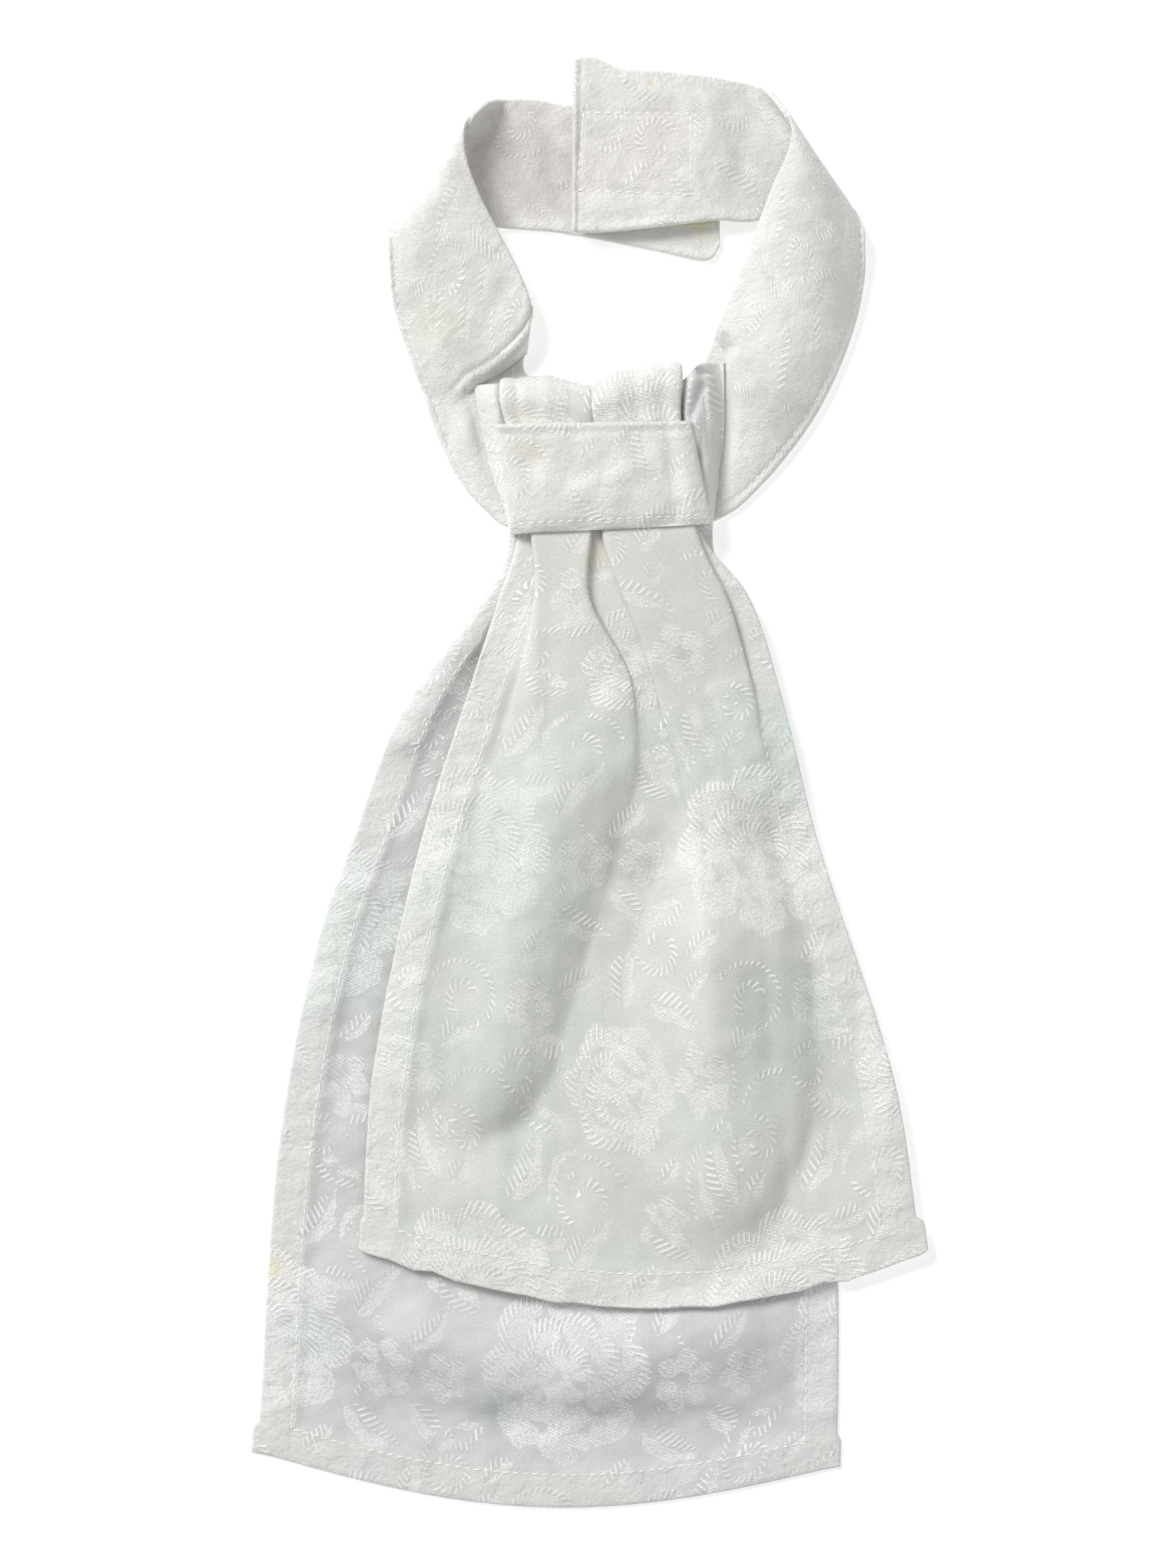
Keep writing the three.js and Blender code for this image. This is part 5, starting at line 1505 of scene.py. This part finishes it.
# Each row of these lists is one patch of stain, tone, painted light or painted shade: x and y of its
# middle, its radius and its tint.
BACK_STAINS_AND_PAINTED_SHADE = [
    (-97, -149, 5, (1.0, 0.94, 0.78, 1)),
    (-78, -50, 50, (0.955, 0.998, 0.98, 1)),
    (40, -176, 50, (0.985, 0.96, 1.0, 1)),
    # The next four darken the tail's foot as painted shade; the first two also tint it teal.
    (-66, -180, 15, (0.85, 0.885, 0.88, 1)),
    (-29, -192, 9, (0.80, 0.87, 0.86, 1)),
    (12, -188, 24, (0.91, 0.91, 0.925, 1)),
    (34, -172, 12, (0.93, 0.95, 0.95, 1)),
    (-84, -168, 16, (0.95, 1.0, 0.98, 1)),
]
BAND_STAINS_AND_PAINTED_LIGHT = [
    (19, 214.5, 1.3, (0.93, 0.84, 0.62, 1)),
    (53.6, 203.7, 0.45, (0.45, 0.36, 0.36, 1)),
    # A pinkish tint and painted shade over the left end and the mouth of the left fold; the next is painted
    # shade deep in that mouth.
    (-17, 190, 27, (0.81, 0.755, 0.76, 1)),
    (-29, 193, 8, (0.90, 0.87, 0.86, 1)),
    (20, 196, 26, (0.985, 0.955, 0.955, 1)),
    # Darkens the left band a little and tints it green.
    (-54, 156, 30, (0.90, 0.92, 0.90, 1)),
    (-47, 141, 10, (1.0, 1.0, 0.94, 1)),
    (34.5, 170.0, 3.2, (1.03, 1.0, 0.80, 1)),
    # The next five are painted light and shade: light on the shaded left end, light beside the right side
    # pleats, shade beside the knot's left, shade on the right band's outer roll and light on its middle.
    (16, 168, 9, (1.08, 1.08, 1.06, 1)),
    (50, 103, 8, (1.07, 1.07, 1.07, 1)),
    (-38, 108, 13, (0.93, 0.93, 0.935, 1)),
    (66, 180, 18, (0.88, 0.88, 0.885, 1)),
    (62, 138, 21, (1.17, 1.17, 1.17, 1)),
]
KNOT_STAINS = [(-18, 101, 8, (1.0, 0.985, 0.94, 1))]
FRONT_STAINS_AND_PAINTED_LIGHT = [
    (-20, 111.5, 4, (1.0, 0.98, 0.88, 1)),
    (2, 70, 5, (1.0, 0.975, 0.86, 1)),
    # Warms and lightens the head.
    (-6, 104, 24, (1.08, 1.045, 1.03, 1)),
    # The next two are painted light below the knot and on the upper middle of the tail.
    (2, 66, 22, (1.12, 1.08, 1.085, 1)),
    (-12, 40, 20, (1.15, 1.13, 1.12, 1)),
    # Warms and lightens the head's left side.
    (-20, 116, 10, (1.08, 1.06, 1.06, 1)),
    # Painted shade in the middle trough; the next is painted light on the lower right ridge.
    (15, -22, 15, (0.82, 0.83, 0.81, 1)),
    (66, -118, 18, (1.08, 1.07, 1.07, 1)),
    (-24, -30, 36, (0.955, 1.0, 0.975, 1)),
    # The next two are painted shade in the right troughs, also tinted green.
    (60, 10, 24, (0.90, 0.975, 0.95, 1)),
    (60, -72, 22, (0.87, 0.93, 0.91, 1)),
    (-50, -78, 13, (0.95, 1.0, 0.985, 1)),
    # Painted light on the lower left plateau, then painted shade low in the middle.
    (-46, -114, 20, (1.18, 1.12, 1.13, 1)),
    (15, -122, 20, (0.94, 0.94, 0.93, 1)),
    # Darkens and warms the top of the head a little.
    (8, 120, 14, (0.97, 0.95, 0.94, 1)),
    # Painted shade in the trough on the right.
    (50, -8, 14, (0.92, 0.92, 0.91, 1)),
]

back_finish = jacquard("back_tail_jacquard", BACK_GROUND, BACK_STAINS_AND_PAINTED_SHADE, bodies=1.0, ragged_edge=1.1)
front_finish = jacquard("front_tail_jacquard", FRONT_GROUND, FRONT_STAINS_AND_PAINTED_LIGHT, bodies=0.8, ragged_edge=1.5)
band_finish = jacquard("neckband_jacquard", BAND_GROUND, BAND_STAINS_AND_PAINTED_LIGHT, bodies=0.7, ragged_edge=1.9)
knot_finish = jacquard("knot_band_jacquard", KNOT_GROUND, KNOT_STAINS, bodies=0.5, ragged_edge=2.0)


def fibre_finish(name, kind, settings, colours, depth, roughness):
    """Plain fibre: one fine texture blends its two colours and lifts its bump by a depth in millimetres."""
    material, tree, shader = new_finish(name)
    place = put(tree, "TexCoord")["Object"]
    texture = put(tree, kind, {"Vector": place, **settings})[0]
    tree.links.new(blend_colour(tree, texture, *colours), shader.inputs["Base Color"])
    bump = put(tree, "Bump", {"Height": texture, "Distance": depth * MM})[0]
    tree.links.new(bump, shader.inputs["Normal"])
    shader.inputs["Roughness"].default_value = roughness
    return material


TWIST = {"Scale": 2400.0, "Detail": 2.0}
LOOPS = {"Scale": 1300.0}
THREAD_COLOURS = [(0.84, 0.84, 0.81, 1), (0.95, 0.95, 0.93, 1)]
TAPE_COLOURS = [(0.72, 0.71, 0.52, 1), (0.84, 0.83, 0.66, 1)]
thread = fibre_finish("stitch_thread", "TexNoise", TWIST, THREAD_COLOURS, depth=0.1, roughness=0.6)
tape = fibre_finish("loop_tape", "TexVoronoi", LOOPS, TAPE_COLOURS, depth=0.3, roughness=0.95)
finishes = [back_finish, front_finish, band_finish, knot_finish, thread, tape]
print("finishes:", [finish.name for finish in finishes])

# %% [markdown]
# Now each mesh becomes an object that stands for its CAD node.

# %% Pieces and sheets
back_piece = add_object("back_tail_cloth", back_mesh, back_finish)
front_piece = add_object("front_tail_cloth", front_mesh, front_finish)
band_piece = add_object("neckband_cloth", band_mesh, band_finish)
knot_piece = add_object("knot_band_cloth", knot_mesh, knot_finish)
back_sewing = add_object("back_tail_stitches", back_stitches, thread)
front_sewing = add_object("front_tail_stitches", front_stitches, thread)
band_sewing = add_object("neckband_stitches", band_stitches, thread)
knot_sewing = add_object("knot_band_stitches", knot_stitches, thread)
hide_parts("back_tail")
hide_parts("front_tail")
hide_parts("neckband")
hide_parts("knot_band")

for patch_name in ("loop_patch", "hook_patch"):
    pad_mesh = patch_pad(patch_name)
    pad = add_object(patch_name + "_pad", pad_mesh, tape)
    pad.modifiers.new("merge", "WELD").merge_threshold = PATCH_WELD * MM
    bevel = pad.modifiers.new("edge", "BEVEL")
    bevel.width = PATCH_BEVEL * MM
    bevel.segments = 2
    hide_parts(patch_name)

# %% [markdown]
# The photo shows the cravat on white with soft light from the upper left. A large square lamp does that,
# a weak one fills in from the other side, and a pale world lights the shadows. An image of a room could
# light it as well, but lamps are easier to turn. The floor glows a little, so that it comes out as white
# as in the photo while the cloth keeps its grey. Sizes here are in metres again.

# %% Floor and light
FLOOR_SIZE = 4.0
FLOOR_DROP = 0.0002
FLOOR_GLOW = 0.36
ROOM_LIGHT = 0.42
floor_mesh = bpy.data.meshes.new("floor")
square = [(-0.5, -0.5), (0.5, -0.5), (0.5, 0.5), (-0.5, 0.5)]
floor_corners = [(FLOOR_SIZE * x, FLOOR_SIZE * y, -FLOOR_DROP) for x, y in square]
floor_mesh.from_pydata(floor_corners, [], [(0, 1, 2, 3)])
floor_material, _, floor_shader = new_finish("white_surface")
floor_shader.inputs["Base Color"].default_value = (0.97, 0.97, 0.97, 1)
floor_shader.inputs["Roughness"].default_value = 1.0
floor_shader.inputs["Specular IOR Level"].default_value = 0.0
floor_shader.inputs["Emission Color"].default_value = (1, 1, 1, 1)
floor_shader.inputs["Emission Strength"].default_value = FLOOR_GLOW
floor_mesh.materials.append(floor_material)
floor_object = bpy.data.objects.new("floor", floor_mesh)
bpy.context.scene.collection.objects.link(floor_object)


def area_light(name, place, size, power):
    """Square lamp at a place, turned towards the origin."""
    data = bpy.data.lights.new(name, "AREA")
    data.size = size
    data.energy = power
    lamp = bpy.data.objects.new(name, data)
    lamp.location = place
    lamp.rotation_euler = (-Vector(place)).to_track_quat("-Z", "Y").to_euler()
    bpy.context.scene.collection.objects.link(lamp)


area_light("window", (-1.55, 1.65, 1.75), size=1.2, power=72)
area_light("fill", (1.2, -0.6, 2.0), size=2.0, power=7)
world = bpy.data.worlds.new("room")
world.use_nodes = True
world.node_tree.nodes["Background"].inputs["Color"].default_value = (1.0, 1.0, 1.0, 1)
world.node_tree.nodes["Background"].inputs["Strength"].default_value = ROOM_LIGHT
bpy.context.scene.world = world
bpy.context.scene.view_settings.view_transform = "Standard"
print("lamps:", [data.name for data in bpy.data.lights])
